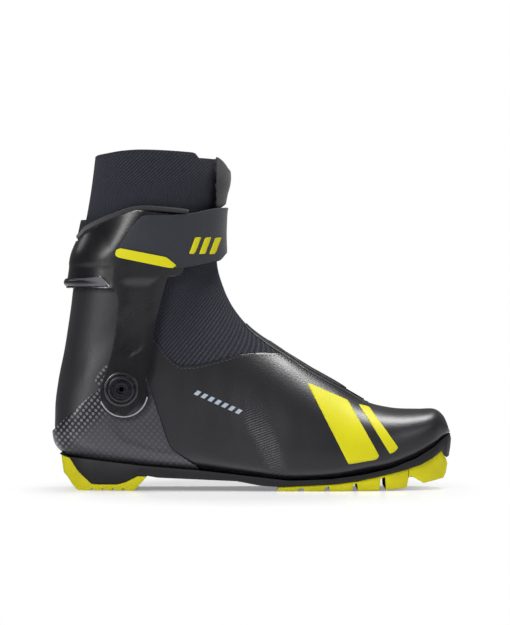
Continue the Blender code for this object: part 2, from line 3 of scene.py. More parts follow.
import bmesh
import bpy
import numpy as np
from mathutils import Matrix, Vector
from mathutils.bvhtree import BVHTree


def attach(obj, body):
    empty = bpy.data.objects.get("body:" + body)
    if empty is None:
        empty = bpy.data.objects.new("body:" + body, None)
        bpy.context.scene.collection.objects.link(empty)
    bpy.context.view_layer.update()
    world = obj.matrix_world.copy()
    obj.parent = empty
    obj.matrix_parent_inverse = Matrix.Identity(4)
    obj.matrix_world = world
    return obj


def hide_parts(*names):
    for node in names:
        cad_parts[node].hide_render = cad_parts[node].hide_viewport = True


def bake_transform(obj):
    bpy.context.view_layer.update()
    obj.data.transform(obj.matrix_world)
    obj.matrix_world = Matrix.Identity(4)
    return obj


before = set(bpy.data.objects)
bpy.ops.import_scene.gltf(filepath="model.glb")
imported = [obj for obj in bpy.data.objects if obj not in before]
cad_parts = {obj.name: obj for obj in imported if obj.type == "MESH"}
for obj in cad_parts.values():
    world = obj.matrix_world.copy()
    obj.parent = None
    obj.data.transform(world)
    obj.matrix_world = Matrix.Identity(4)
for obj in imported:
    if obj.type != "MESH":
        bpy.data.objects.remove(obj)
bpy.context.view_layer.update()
mm = 0.001
far = 400.0
pivot = (-97.4, 75.8)  # cuff hinge, x and z in mm
lateral, medial = -1, 1
creaseAngle = 38  # degrees between faces from which a solid's edge is rounded

# The boot's skin: sections that fan out from the toe, over the instep, round the heel and up
# the shaft. Each row: outer x, z, inner x, z, half width, centre y, widest fraction, lower and
# upper squareness, all in mm.
stations = np.array([
    (148.9, 41.8, 148.9, 45.0, 9.0, 7.0, 0.40, 2.6, 2.4),
    (147.4, 40.8, 147.3, 50.0, 15.0, 6.5, 0.38, 3.0, 2.4),
    (143.6, 38.4, 144.0, 56.0, 21.5, 6.5, 0.32, 3.4, 2.5),
    (136.5, 32.4, 137.5, 60.2, 30.0, 6.0, 0.30, 3.8, 2.6),
    (123.0, 24.3, 124.5, 60.2, 37.5, 4.5, 0.28, 4.2, 2.6),
    (104.0, 16.9, 105.0, 61.2, 44.0, 2.5, 0.26, 4.6, 2.5),
    (83.0, 12.4, 84.0, 66.8, 47.5, 1.0, 0.24, 4.8, 2.2),
    (59.0, 9.2, 62.0, 80.8, 48.0, -0.5, 0.22, 7.0, 1.95),
    (28.0, 8.0, 36.0, 96.8, 45.0, -2.5, 0.22, 8.0, 1.85),
    (-6.0, 11.7, 15.0, 109.8, 41.0, -3.0, 0.24, 8.0, 1.8),
    (-42.0, 15.8, -1.0, 121.4, 37.7, -2.7, 0.28, 7.0, 1.8),
    (-82.0, 18.9, -11.5, 133.2, 36.0, -1.7, 0.32, 6.0, 1.85),
    (-122.0, 23.6, -18.5, 145.0, 35.2, -1.0, 0.36, 5.0, 1.9),
    (-145.5, 33.0, -23.5, 158.0, 34.4, -0.5, 0.42, 4.0, 1.95),
    (-148.6, 58.0, -25.8, 167.0, 33.8, 0.0, 0.46, 3.0, 2.0),
    (-146.2, 82.0, -26.5, 175.0, 33.6, 0.0, 0.50, 2.4, 2.05),
    (-141.5, 106.0, -26.8, 183.0, 34.0, 0.0, 0.50, 2.3, 2.1),
    (-137.2, 134.0, -27.0, 192.0, 34.6, 0.0, 0.50, 2.25, 2.15),
    (-135.0, 152.0, -26.8, 200.0, 35.2, 0.0, 0.50, 2.2, 2.2),
    (-131.5, 175.0, -26.2, 210.0, 36.0, 0.0, 0.50, 2.2, 2.2),
    (-125.5, 203.0, -24.0, 222.0, 37.0, 0.0, 0.50, 2.2, 2.2),
    (-121.0, 230.0, -21.5, 238.0, 38.0, 0.0, 0.50, 2.2, 2.2),
    (-117.0, 264.0, -30.0, 264.0, 38.5, 0.0, 0.50, 2.2, 2.2),
])
shaftTop = len(stations) - 1.0

vampSeam = [(-170, 153), (-110, 150), (-90, 128), (-73, 112.5), (-63.5, 100.9), (-56.9, 95.2), (-51.1, 93.1),
            (-39.6, 93.9), (-20.1, 98.7), (-9.5, 101.6), (4, 102.6), (20.6, 102.6), (60, 102.6), (160, 102.6)]
collarTop = [(-160, 250.0), (-117.8, 252.2), (-99, 254.3), (-80.6, 255), (-50, 253.8), (-41.5, 252.9),
             (-38.6, 249.9), (-20, 249.3), (160, 248.6)]


def stationAt(t):
    last = len(stations) - 1
    i = min(int(t), last - 1)
    f = t - i
    a, b, c, d = (stations[min(max(k, 0), last)] for k in (i - 1, i, i + 1, i + 2))
    return 0.5 * (2 * b + (c - a) * f + (2 * a - 5 * b + 4 * c - d) * f ** 2
                  + (3 * b - 3 * c + d - a) * f ** 3)


def ringPoints(t, phis):
    outX, outZ, inX, inZ, half, mid, widest, low, up = stationAt(t)
    c, s = np.cos(phis), np.sin(phis)
    power = np.where(c > 0, 2.0 / low, 2.0 / up)
    reach = np.abs(c) ** power
    along = np.where(c > 0, widest * (1 - reach), widest + (1 - widest) * reach)
    side = -np.sign(s) * np.abs(s) ** power * half
    return np.stack([outX + (inX - outX) * along, mid + side, outZ + (inZ - outZ) * along], 1)


def skinGrid(start, end, rows, columns):
    # points and outward normals of the skin, a row for each section
    phis = np.linspace(0, 2 * math.pi, columns, endpoint=False)
    ts = np.linspace(start, end, rows)
    points = np.array([ringPoints(t, phis) for t in ts])
    step = 0.03
    ahead = np.array([ringPoints(min(t + step, shaftTop), phis) for t in ts])
    behind = np.array([ringPoints(max(t - step, 0), phis) for t in ts])
    alongT = ahead - behind
    alongPhi = np.roll(points, -1, 1) - np.roll(points, 1, 1)
    normals = np.cross(alongPhi, alongT)
    normals /= np.maximum(np.linalg.norm(normals, axis=2, keepdims=True), 1e-9)
    return points, normals


def skinMesh(offset, start, end, density=8, columns=132):
    # the skin moved out by offset, as quads with a uv of distance round the boot and height
    rows = int((end - start) * density) + 1
    points, normals = skinGrid(start, end, rows, columns)
    points = points + normals * offset
    if start == 0:
        tip = points[0].mean(0)
        caps = [tip + (points[0] - tip) * f + np.array([dx, 0, 0]) for f, dx in ((0.05, 0.9), (0.6, 0.6))]
        points = np.concatenate([np.array(caps), points])
        rows += 2
    bm = bmesh.new()
    verts = [[bm.verts.new(p) for p in row] for row in points]
    uv = bm.loops.layers.uv.new("skin")
    spans = np.linalg.norm(np.roll(points, -1, 1) - points, axis=2)
    rounds = np.concatenate([np.zeros((rows, 1)), np.cumsum(spans, 1)], 1)
    for i in range(rows - 1):
        for k in range(columns):
            m = (k + 1) % columns
            face = bm.faces.new((verts[i][k], verts[i][m], verts[i + 1][m], verts[i + 1][k]))
            corners = ((i, k), (i, k + 1), (i + 1, k + 1), (i + 1, k))
            for loop, (r, q) in zip(face.loops, corners):
                loop[uv].uv = ((rounds[r, q] - rounds[r, columns // 2]) * mm, loop.vert.co.z * mm)
            face.smooth = True
    if start == 0:
        face = bm.faces.new(verts[0][::-1])
        face.smooth = True
    return bm


def chaikin(points, times=2, closed=True, keep=0.25):
    # rounds the corners of an outline
    pts = [np.array(p, float) for p in points]
    for _ in range(times):
        new = [] if closed else [pts[0]]
        count = len(pts) if closed else len(pts) - 1
        for i in range(count):
            a, b = pts[i], pts[(i + 1) % len(pts)]
            new += [a + (b - a) * keep, b - (b - a) * keep]
        if not closed:
            new.append(pts[-1])
        pts = new
    return [tuple(p) for p in pts]


def smoothLine(points, steps=6):
    # Catmull-Rom through the points of an open line
    pts = [np.array(p, float) for p in points]
    pts = [2 * pts[0] - pts[1]] + pts + [2 * pts[-1] - pts[-2]]
    line = []
    for i in range(1, len(pts) - 2):
        a, b, c, d = pts[i - 1:i + 3]
        for f in np.linspace(0, 1, steps, endpoint=False):
            line.append(tuple(0.5 * (2 * b + (c - a) * f + (2 * a - 5 * b + 4 * c - d) * f ** 2
                                     + (3 * b - 3 * c + d - a) * f ** 3)))
    return line + [tuple(pts[-2])]


def arc(centre, radius, start, end, steps):
    angles = np.radians(np.linspace(start, end, steps))
    return [(centre[0] + radius * math.cos(a), centre[1] + radius * math.sin(a)) for a in angles]


def below(line, dz=0.0):
    return [(x, z + dz) for x, z in line] + [(line[-1][0], -far), (line[0][0], -far)]


def above(line, dz=0.0):
    return [(x, z + dz) for x, z in line] + [(line[-1][0], far), (line[0][0], far)]


def insideBy(points, outline):
    # signed distance to an outline, positive inside it
    poly = np.array(outline, float)
    nxt = np.roll(poly, -1, 0)
    best = np.full(len(points), 1e9)
    inside = np.zeros(len(points), bool)
    for a, b in zip(poly, nxt):
        d = b - a
        f = np.clip(((points - a) @ d) / max(d @ d, 1e-12), 0, 1)
        best = np.minimum(best, np.linalg.norm(points - a - f[:, None] * d, axis=1))
        cross = (a[1] > points[:, 1]) != (b[1] > points[:, 1])
        if abs(b[1] - a[1]) > 1e-12:
            atX = a[0] + (points[:, 1] - a[1]) * d[0] / (b[1] - a[1])
            inside ^= cross & (points[:, 0] < atX)
    return np.where(inside, best, -best)


def clip(bm, outline, plane="xz", hole=False):
    # keeps what is inside an outline seen from the side (xz) or from above (xy), or outside a hole
    coords = np.array([v.co for v in bm.verts])
    field = insideBy(coords[:, [0, 2]] if plane == "xz" else coords[:, :2], outline)
    field *= -1 if hole else 1
    field[np.abs(field) < 0.02] = 0.0
    value = dict(zip(bm.verts, field))
    for edge in list(bm.edges):
        a, b = edge.verts
        fa, fb = value[a], value[b]
        if fa * fb < 0:
            vert = bmesh.utils.edge_split(edge, a, fa / (fa - fb))[1]
            value[vert] = 0.0
    for face in list(bm.faces):
        zeros = [v for v in face.verts if value[v] == 0.0]
        if len(zeros) == 2 and any(value[v] < 0 for v in face.verts) and any(value[v] > 0 for v in face.verts):
            if not any(zeros[1] in e.verts for e in zeros[0].link_edges):
                bmesh.utils.face_split(face, zeros[0], zeros[1])
    gone = [f for f in bm.faces if sum(value[v] for v in f.verts) <= 0]
    bmesh.ops.delete(bm, geom=gone, context="FACES")
    bmesh.ops.delete(bm, geom=[v for v in bm.verts if not v.link_faces], context="VERTS")
    bmesh.ops.dissolve_degenerate(bm, edges=bm.edges, dist=0.05)
    return bm


def pieceFrom(name, bm, material, scale=mm):
    for v in bm.verts:
        v.co *= scale
    mesh = bpy.data.meshes.new(name)
    bm.to_mesh(mesh)
    bm.free()
    obj = bpy.data.objects.new(name, mesh)
    bpy.context.scene.collection.objects.link(obj)
    mesh.materials.append(material)
    return obj


def settled(obj):
    # applies the modifiers and the place, so that the piece is a plain mesh at the origin
    bpy.context.view_layer.update()
    evaluated = obj.evaluated_get(bpy.context.evaluated_depsgraph_get())
    mesh = bpy.data.meshes.new_from_object(evaluated)
    mesh.transform(obj.matrix_world)
    if obj.type == "MESH":
        obj.modifiers.clear()
        obj.data = mesh
        obj.matrix_world = Matrix.Identity(4)
        return obj
    plain = bpy.data.objects.new(obj.name, mesh)
    bpy.context.scene.collection.objects.link(plain)
    name = obj.name
    bpy.data.objects.remove(obj, do_unlink=True)
    plain.name = name
    return plain


def walled(obj, thickness, edge=0.0, segments=2):
    # gives an open surface its wall and rounds the wall's edges
    wall = obj.modifiers.new("wall", "SOLIDIFY")
    wall.thickness = thickness * mm
    wall.offset = -1.0
    wall.use_even_offset = True
    wall.thickness_clamp = 1.0
    if edge:
        bevel = obj.modifiers.new("edge", "BEVEL")
        bevel.width = edge * mm
        bevel.segments = segments
        bevel.limit_method = "ANGLE"
        bevel.angle_limit = math.radians(50)
        bevel.harden_normals = False
    return settled(obj)


def shape(bm, outline, height, ramp):
    # lifts what lies inside a side outline off the skin, with a soft slope this wide
    bm.normal_update()
    verts = list(bm.verts)
    inside = insideBy(np.array([(v.co.x, v.co.z) for v in verts]), outline)
    rise = np.clip(inside / ramp, 0, 1)
    rise = rise * rise * (3 - 2 * rise) * height
    moves = [v.normal * r for v, r in zip(verts, rise)]
    for v, move in zip(verts, moves):
        v.co += move


def skinPiece(name, material, spec):
    # a piece of the boot's wall: the skin at an offset, cut to side outlines, given thickness
    bm = skinMesh(spec["out"], spec.get("start", 0), spec.get("end", shaftTop), spec.get("density", 8),
                  spec.get("columns", 132))
    for outline in spec["outlines"]:
        clip(bm, outline)
    for outline in spec.get("plans", ()):
        clip(bm, outline, "xy")
    for outline in spec.get("holes", ()):
        clip(bm, outline, hole=True)
    for outline, height, ramp in spec.get("raised", ()):
        shape(bm, outline, height, ramp)
    obj = pieceFrom(name, bm, material)
    if spec.get("push"):
        print(f"{name} settled, up to {eased(obj, spec['push']):.2f} mm")
    return walled(obj, spec["wall"], spec.get("edge", 0.3), spec.get("segments", 2))


def skinLine(line, phis, offset=0.0, low=4.0, high=shaftTop):
    # where a side-view line x, z crosses the skin at each angle phi, with the normals there
    xs, zs = zip(*line)
    points, normals = [], []
    for phi in phis:
        a, b = low, high
        for _ in range(30):
            t = (a + b) / 2
            x, _, z = ringPoints(t, np.array([phi]))[0]
            if z < np.interp(x, xs, zs):
                a = t
            else:
                b = t
        near = np.array([phi - 0.01, phi, phi + 0.01])
        ring = ringPoints(t, near)
        alongT = ringPoints(min(t + 0.02, shaftTop), near)[1] - ringPoints(t - 0.02, near)[1]
        normal = np.cross(ring[2] - ring[0], alongT)
        normal /= max(np.linalg.norm(normal), 1e-9)
        points.append(ring[1] + normal * offset)
        normals.append(normal)
    return np.array(points), np.array(normals)


def sweep(name, points, normals, profile, material, closed=False):
    # carries a profile (outward, across) along points, facing outwards along the normals
    count = len(points)
    ahead = np.roll(points, -1, 0) - np.roll(points, 1, 0)
    if not closed:
        ahead[0], ahead[-1] = points[1] - points[0], points[-1] - points[-2]
    ahead /= np.linalg.norm(ahead, axis=1, keepdims=True)
    outs = normals - ahead * np.sum(normals * ahead, 1, keepdims=True)
    outs /= np.linalg.norm(outs, axis=1, keepdims=True)
    sides = np.cross(ahead, outs)
    lengths = np.concatenate([[0], np.cumsum(np.linalg.norm(np.diff(points, axis=0), axis=1))])
    bm = bmesh.new()
    uv = bm.loops.layers.uv.new("along")
    rings = []
    for p, o, s in zip(points, outs, sides):
        rings.append([bm.verts.new(p + o * u + s * v) for u, v in profile])
    spans = count if closed else count - 1
    for i in range(spans):
        a, b = rings[i], rings[(i + 1) % count]
        for k in range(len(profile)):
            m = (k + 1) % len(profile)
            face = bm.faces.new((a[k], b[k], b[m], a[m]))
            face.smooth = True
            near, away = lengths[i], lengths[i] + np.linalg.norm(points[(i + 1) % count] - points[i])
            across = k / len(profile), (k + 1) / len(profile)
            for loop, spot in zip(face.loops, ((near, across[0]), (away, across[0]), (away, across[1]),
                                               (near, across[1]))):
                loop[uv].uv = (spot[0] * mm, spot[1])
    if not closed:
        bm.faces.new(rings[0])
        bm.faces.new(rings[-1][::-1])
    bmesh.ops.recalc_face_normals(bm, faces=bm.faces)
    return settled(pieceFrom(name, bm, material))


def oval(outward, across, steps):
    angles = np.linspace(0, 2 * math.pi, steps, endpoint=False)
    return [(outward * math.cos(a), across * math.sin(a)) for a in angles]


def skinAt(x, z, side):
    # point and outward normal of the skin seen from one side
    start = Vector((x, side * far, z))
    place, normal = skinTree.ray_cast(start, Vector((0, -side, 0)))[:2]
    return place, normal


def alongSkin(line, side, spacing=1.5):
    # points and normals where a side-view line lies on the skin, evenly spaced; what misses it is dropped
    line = np.array(line, float)
    lengths = np.concatenate([[0], np.cumsum(np.linalg.norm(np.diff(line, axis=0), axis=1))])
    steps = np.linspace(0, lengths[-1], max(3, int(lengths[-1] / spacing)))
    path = zip(np.interp(steps, lengths, line[:, 0]), np.interp(steps, lengths, line[:, 1]))
    spots = [spot for spot in (skinAt(x, z, side) for x, z in path) if spot[0]]
    return [p for p, _ in spots], [n for _, n in spots]


def merged(parts):
    # several plain pieces of one finish as one mesh
    first = parts[0]
    bm = bmesh.new()
    for part in parts:
        bm.from_mesh(part.data)
    bm.to_mesh(first.data)
    bm.free()
    for part in parts[1:]:
        bpy.data.objects.remove(part, do_unlink=True)
    return first


def bead(name, line, offset, radius, material, sides=(lateral, medial)):
    # a thin rounded line laid on the skin along a side-view line
    parts = []
    for side in sides:
        points, normals = alongSkin(line, side)
        lifted = np.array([p + n * offset for p, n in zip(points, normals)])
        parts.append(sweep(name, lifted, np.array(normals), oval(radius, radius, 8), material))
    return merged(parts)


def rowTree():
    # one small part repeated along a line: stitches, zip teeth
    tree = bpy.data.node_groups.new("repeatedRow", "GeometryNodeTree")
    sockets = tree.interface
    sockets.new_socket("Line", in_out="INPUT", socket_type="NodeSocketGeometry")
    for label, value in (("Spacing", 0.003), ("Along", 0.001), ("Across", 0.0004), ("Height", 0.0003),
                         ("Variation", 0.12)):
        sockets.new_socket(label, in_out="INPUT", socket_type="NodeSocketFloat").default_value = value
    sockets.new_socket("Seed", in_out="INPUT", socket_type="NodeSocketInt").default_value = 11
    sockets.new_socket("Finish", in_out="INPUT", socket_type="NodeSocketMaterial")
    sockets.new_socket("Row", in_out="OUTPUT", socket_type="NodeSocketGeometry")
    inputs = tree.nodes.new("NodeGroupInput")
    curve = addNode(tree, "GeometryNodeMeshToCurve", {}, {0: (inputs, "Line")})
    spaced = addNode(tree, "GeometryNodeResampleCurve", {"mode": "LENGTH"},
                     {0: curve, "Length": (inputs, "Spacing")})
    tangent = addNode(tree, "GeometryNodeInputTangent")
    outward = addNode(tree, "GeometryNodeInputNamedAttribute", {"data_type": "FLOAT_VECTOR", "Name": "outward"})
    lying = addNode(tree, "FunctionNodeAlignRotationToVector", {"axis": "X"}, {"Vector": tangent})
    facing = addNode(tree, "FunctionNodeAlignRotationToVector", {"axis": "Z", "pivot_axis": "X"},
                     {"Rotation": lying, "Vector": outward})
    least = calc(tree, "SUBTRACT", 1.0, (inputs, "Variation"))
    most = calc(tree, "ADD", 1.0, (inputs, "Variation"))
    chance = addNode(tree, "FunctionNodeRandomValue", {"data_type": "FLOAT"},
                     {2: least, 3: most, "Seed": (inputs, "Seed")})
    long = calc(tree, "MULTIPLY", (inputs, "Along"), (chance, 1))
    size = addNode(tree, "CombineXYZ", {}, {0: long, 1: (inputs, "Across"), 2: (inputs, "Height")})
    grain = addNode(tree, "GeometryNodeMeshUVSphere", {"Segments": 8, "Rings": 6, "Radius": 1.0})
    placed = addNode(tree, "GeometryNodeInstanceOnPoints", {},
                     {"Points": spaced, "Instance": grain, "Rotation": facing, "Scale": size})
    real = addNode(tree, "GeometryNodeRealizeInstances", {}, {0: placed})
    coated = addNode(tree, "GeometryNodeSetMaterial", {}, {0: real, "Material": (inputs, "Finish")})
    output = tree.nodes.new("NodeGroupOutput")
    join(tree, (coated.outputs[0], output.inputs[0]))
    return tree


def row(name, points, normals, settings, material):
    # runs the repeated part along points and keeps the result as a plain mesh
    bm = bmesh.new()
    layer = bm.verts.layers.float_vector.new("outward")
    before = None
    for point, normal in zip(points, normals):
        vert = bm.verts.new(point)
        vert[layer] = normal
        if before:
            bm.edges.new((before, vert))
        before = vert
    obj = pieceFrom(name, bm, material)
    tree = rowTree()
    modifier = obj.modifiers.new("row", "NODES")
    modifier.node_group = tree
    values = {**settings, "Finish": material}
    for item in tree.interface.items_tree:
        if item.in_out == "INPUT" and item.name in values:
            modifier[item.identifier] = values[item.name]
    obj.update_tag()
    settled(obj)
    obj.data.shade_smooth()
    bpy.data.node_groups.remove(tree)
    return obj


def seamRow(name, line, offset, settings, material, sides=(lateral, medial)):
    # a row that follows a side-view line on the skin, on one side or both
    parts = []
    for side in sides:
        points, normals = alongSkin(line, side)
        lifted = [p + n * offset for p, n in zip(points, normals)]
        parts.append(row(name, lifted, normals, settings, material))
    return merged(parts)


def eased(obj, push, frames=24, most=1.2):
    # lets a cushion's cover settle over its filling: the cover is cloth, held at its rim, pushed out from inside
    verts = obj.data.vertices
    border = set()
    bm = bmesh.new()
    bm.from_mesh(obj.data)
    for edge in bm.edges:
        if edge.is_boundary:
            border.update(vert.index for vert in edge.verts)
    bm.free()
    before = np.array([vert.co[:] for vert in verts])
    out = np.array([vert.normal[:] for vert in verts])
    held = obj.vertex_groups.new(name="rim")
    held.add(list(border), 1.0, "REPLACE")
    cloth = obj.modifiers.new("cover", "CLOTH")
    cloth.settings.vertex_group_mass = "rim"
    cloth.settings.quality = 5
    cloth.settings.mass = 0.2
    cloth.settings.tension_stiffness = 30
    cloth.settings.compression_stiffness = 30
    cloth.settings.bending_stiffness = 0.8
    cloth.settings.air_damping = 2.0
    cloth.settings.effector_weights.gravity = 0.0
    cloth.settings.use_pressure = True
    cloth.settings.uniform_pressure_force = push
    cloth.point_cache.frame_start = 1
    cloth.point_cache.frame_end = frames
    for frameNumber in range(1, frames + 1):
        bpy.context.scene.frame_set(frameNumber)
    evaluated = obj.evaluated_get(bpy.context.evaluated_depsgraph_get())
    after = np.array([vert.co[:] for vert in evaluated.data.vertices])
    obj.modifiers.remove(cloth)
    obj.vertex_groups.clear()
    bpy.context.scene.frame_set(1)
    rise = np.clip(np.sum((after - before) * out, 1), 0, most * mm)
    for vert, start, normal, height in zip(verts, before, out, rise):
        vert.co = start + normal * height
    return float(rise.max() / mm)


def lathe(name, profile, centre, material, steps=64):
    # turns a profile of radius and height outwards about the hinge axis, on both sides
    bm = bmesh.new()
    x, y, z = centre
    for side in (lateral, medial):
        rings = []
        for radius, height in profile:
            if radius == 0:
                rings.append([bm.verts.new((x, side * (y + height), z))])
                continue
            rings.append([bm.verts.new((x + radius * math.cos(a), side * (y + height), z + radius * math.sin(a)))
                          for a in np.linspace(0, 2 * math.pi, steps, endpoint=False)])
        for a, b in zip(rings, rings[1:]):
            for k in range(steps):
                m = (k + 1) % steps
                corners = [a[k % len(a)], a[m % len(a)], b[m % len(b)], b[k % len(b)]]
                bm.faces.new(list(dict.fromkeys(corners))).smooth = True
    bmesh.ops.recalc_face_normals(bm, faces=bm.faces)
    obj = pieceFrom(name, bm, material)
    obj.data.set_sharp_from_angle(angle=math.radians(35))
    return obj


def refined(node, material, edge):
    # a copy of a solid of the frame with its loose triangles joined and its edges rounded
    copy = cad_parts[node].copy()
    copy.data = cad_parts[node].data.copy()
    copy.parent = None
    copy.name = node + "_refined"
    for key in list(copy.keys()):
        del copy[key]
    bpy.context.scene.collection.objects.link(copy)
    bm = bmesh.new()
    bm.from_mesh(copy.data)
    bmesh.ops.remove_doubles(bm, verts=bm.verts, dist=1e-6)
    bmesh.ops.dissolve_limit(bm, angle_limit=math.radians(1.5), verts=bm.verts, edges=bm.edges)
    bm.to_mesh(copy.data)
    bm.free()
    copy.data.materials.clear()
    copy.data.materials.append(material)
    bevel = copy.modifiers.new("edge", "BEVEL")
    bevel.width = edge * mm
    bevel.segments = 2
    bevel.limit_method = "ANGLE"
    bevel.angle_limit = math.radians(creaseAngle)
    settled(copy)
    copy.data.shade_smooth()
    copy.data.set_sharp_from_angle(angle=math.radians(creaseAngle))
    return copy


def finish(obj, body, replaced=(), bend=None):
    # every piece rides a body, unless it is given a bend, when only its place is applied and it rides none; the
    # solids it stands for are hidden
    if bend:
        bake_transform(obj)
    else:
        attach(obj, body)
    if replaced:
        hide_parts(*replaced)
    return obj


print("base surface ready")


def linear(hexCode):
    values = [int(hexCode[i:i + 2], 16) / 255 for i in (1, 3, 5)]
    return tuple(v / 12.92 if v <= 0.04045 else ((v + 0.055) / 1.055) ** 2.4 for v in values) + (1.0,)


def addNode(tree, kind, settings=None, links=None):
    # adds a node: settings are properties or sockets by name or number, links are nodes or (node, output)
    node = tree.nodes.new(kind if "Node" in kind else "ShaderNode" + kind)
    sockets = {}
    for key, value in (settings or {}).items():
        value = linear(value) if isinstance(value, str) and value[0] == "#" else value
        if isinstance(key, str) and hasattr(node, key):
            setattr(node, key, value)
        else:
            sockets[key] = value
    for key, value in sockets.items():
        node.inputs[key].default_value = value
    for key, source in (links or {}).items():
        output = source[0].outputs[source[1]] if isinstance(source, tuple) else source.outputs[0]
        tree.links.new(output, node.inputs[key])
    return node


def calc(tree, operation, *terms):
    # one sum: each term is a number, a node or (node, output)
    numbers = {i: term for i, term in enumerate(terms) if isinstance(term, (int, float))}
    links = {i: term for i, term in enumerate(terms) if i not in numbers}
    return addNode(tree, "Math", {"operation": operation, **numbers}, links)


def spread(tree, source, low, high, start=0.0, end=1.0, kind="LINEAR"):
    # carries the values from low to high over to start to end
    return addNode(tree, "MapRange", {"interpolation_type": kind, 1: low, 2: high, 3: start, 4: end},
                   {0: source})


def smoothRange(tree, source, low, high, start=0.0, end=1.0):
    return spread(tree, source, low, high, start, end, "SMOOTHSTEP")


def mixed(tree, amount, first, second):
    # a colour between two, each of them a colour code or (node, output)
    terms = {6: first, 7: second}
    colours = {i: term for i, term in terms.items() if isinstance(term, str)}
    links = {i: term for i, term in terms.items() if i not in colours}
    return addNode(tree, "Mix", {"data_type": "RGBA", **colours}, {0: amount, **links})


def noise(tree, spot, scale, detail, roughness=0.5):
    return addNode(tree, "TexNoise", {"Scale": scale, "Detail": detail, "Roughness": roughness},
                   {"Vector": spot})


def startMaterial(name, colour, roughness, sockets=None):
    # a named finish with its typical values; returns the material, its tree, its shader and its place node
    mat = bpy.data.materials.new(name)
    mat.use_nodes = True
    tree = mat.node_tree
    shader = tree.nodes["Principled BSDF"]
    for key, value in {"Base Color": linear(colour), "Roughness": roughness, **(sockets or {})}.items():
        shader.inputs[key].default_value = value
    return mat, tree, shader, addNode(tree, "TexCoord")


def join(tree, *pairs):
    for source, socket in pairs:
        tree.links.new(source, socket)


def wired(tree, shader, relief, strength, depth, colour=None, gloss=None):
    # joins a finish's relief, colour and gloss to its shader
    bump = addNode(tree, "Bump", {"Strength": strength, "Distance": depth}, {"Height": relief})
    if colour:
        tree.links.new(colour.outputs[2], shader.inputs["Base Color"])
    if gloss:
        tree.links.new(gloss.outputs[0], shader.inputs["Roughness"])
    tree.links.new(bump.outputs[0], shader.inputs["Normal"])


flexLines = {"pitch": 0.0019, "lean": 0.42, "rise": -0.36, "middle": 0.026, "full": 0.004, "gone": 0.013,
             "top": 0.066, "solid": 0.05, "depth": 0.10}
printedBars = {"start": (0.042, 0, -0.0735), "slope": -24, "pitch": 0.0056, "filled": 0.56, "lean": -0.45,
               "length": 0.0392, "halfHeight": 0.0019, "colour": "#9aa5b2"}


def coatedSoftshell(name, colour, lighter, roughness=0.5, printed=False):
    # polyester softshell with a thin bonded film: quiet cloth grain, soft long wrinkles, low sheen
    mat, tree, shader, place = startMaterial(name, colour, roughness, {"Sheen Weight": 0.05,
                                                                       "Sheen Roughness": 0.4})
    grainSize = 0.0011  # yarn bundles, drawn at twice their real size to show
    spot = (place, "Object")
    grain = noise(tree, spot, 1 / grainSize, 2.0, 0.6)
    long = addNode(tree, "Mapping", {"Scale": (1.0, 1.0, 0.28), "Rotation": (0, math.radians(18), 0)},
                   {"Vector": spot})
    folds = noise(tree, long, 42.0, 1.5, 0.4)
    broad = noise(tree, spot, 14.0, 2.0)
    tone = spread(tree, broad, 0.32, 0.7)
    shade = mixed(tree, tone, colour, lighter)
    fleck = spread(tree, grain, 0.3, 0.75, 0.86, 1.16)
    dyed = addNode(tree, "Mix", {"data_type": "RGBA", "blend_type": "MULTIPLY", 0: 1.0},
                   {6: (shade, 2), 7: fleck})
    height = calc(tree, "MULTIPLY_ADD", grain, 0.16, folds)
    last = dyed
    if printed:
        lines, bars = flexLines, printedBars
        axes = addNode(tree, "SeparateXYZ", {}, {0: spot})
        # a leaning band of fine flex lines behind the toe joint
        lean = calc(tree, "MULTIPLY_ADD", (axes, 2), lines["lean"], (axes, 0))
        rise = calc(tree, "MULTIPLY_ADD", (axes, 0), lines["rise"], (axes, 2))
        crease = calc(tree, "MULTIPLY", rise, 2 * math.pi / lines["pitch"])
        wave = calc(tree, "SINE", crease)
        near = calc(tree, "SUBTRACT", lean, lines["middle"])
        away = calc(tree, "ABSOLUTE", near)
        band = smoothRange(tree, away, lines["full"], lines["gone"], 1.0, 0.0)
        tall = smoothRange(tree, (axes, 2), lines["top"], lines["solid"])
        zone = calc(tree, "MULTIPLY", band, tall)
        ridged = calc(tree, "MULTIPLY", wave, zone)
        height = calc(tree, "MULTIPLY_ADD", ridged, lines["depth"], height)
        # a plain row of short printed bars along the quarter
        turned = addNode(tree, "Mapping", {"Location": bars["start"]}, {"Vector": spot})
        rolled = addNode(tree, "VectorRotate", {"rotation_type": "Y_AXIS", "Angle": math.radians(bars["slope"])},
                         {"Vector": turned})
        cell = addNode(tree, "SeparateXYZ", {}, {0: rolled})
        skew = calc(tree, "MULTIPLY_ADD", (cell, 2), bars["lean"], (cell, 0))
        phase = calc(tree, "DIVIDE", skew, bars["pitch"])
        part = calc(tree, "FRACT", phase)
        bar = calc(tree, "LESS_THAN", part, bars["filled"])
        first = calc(tree, "GREATER_THAN", skew, 0.0)
        final = calc(tree, "LESS_THAN", skew, bars["length"])
        level = calc(tree, "ABSOLUTE", (cell, 2))
        thin = calc(tree, "LESS_THAN", level, bars["halfHeight"])
        outer = calc(tree, "LESS_THAN", (axes, 1), 0.0)
        for extra in (first, final, thin, outer):
            bar = calc(tree, "MULTIPLY", bar, extra)
        last = mixed(tree, bar, (dyed, 2), bars["colour"])
    wired(tree, shader, height, 0.8, 0.0009, last)
    return mat


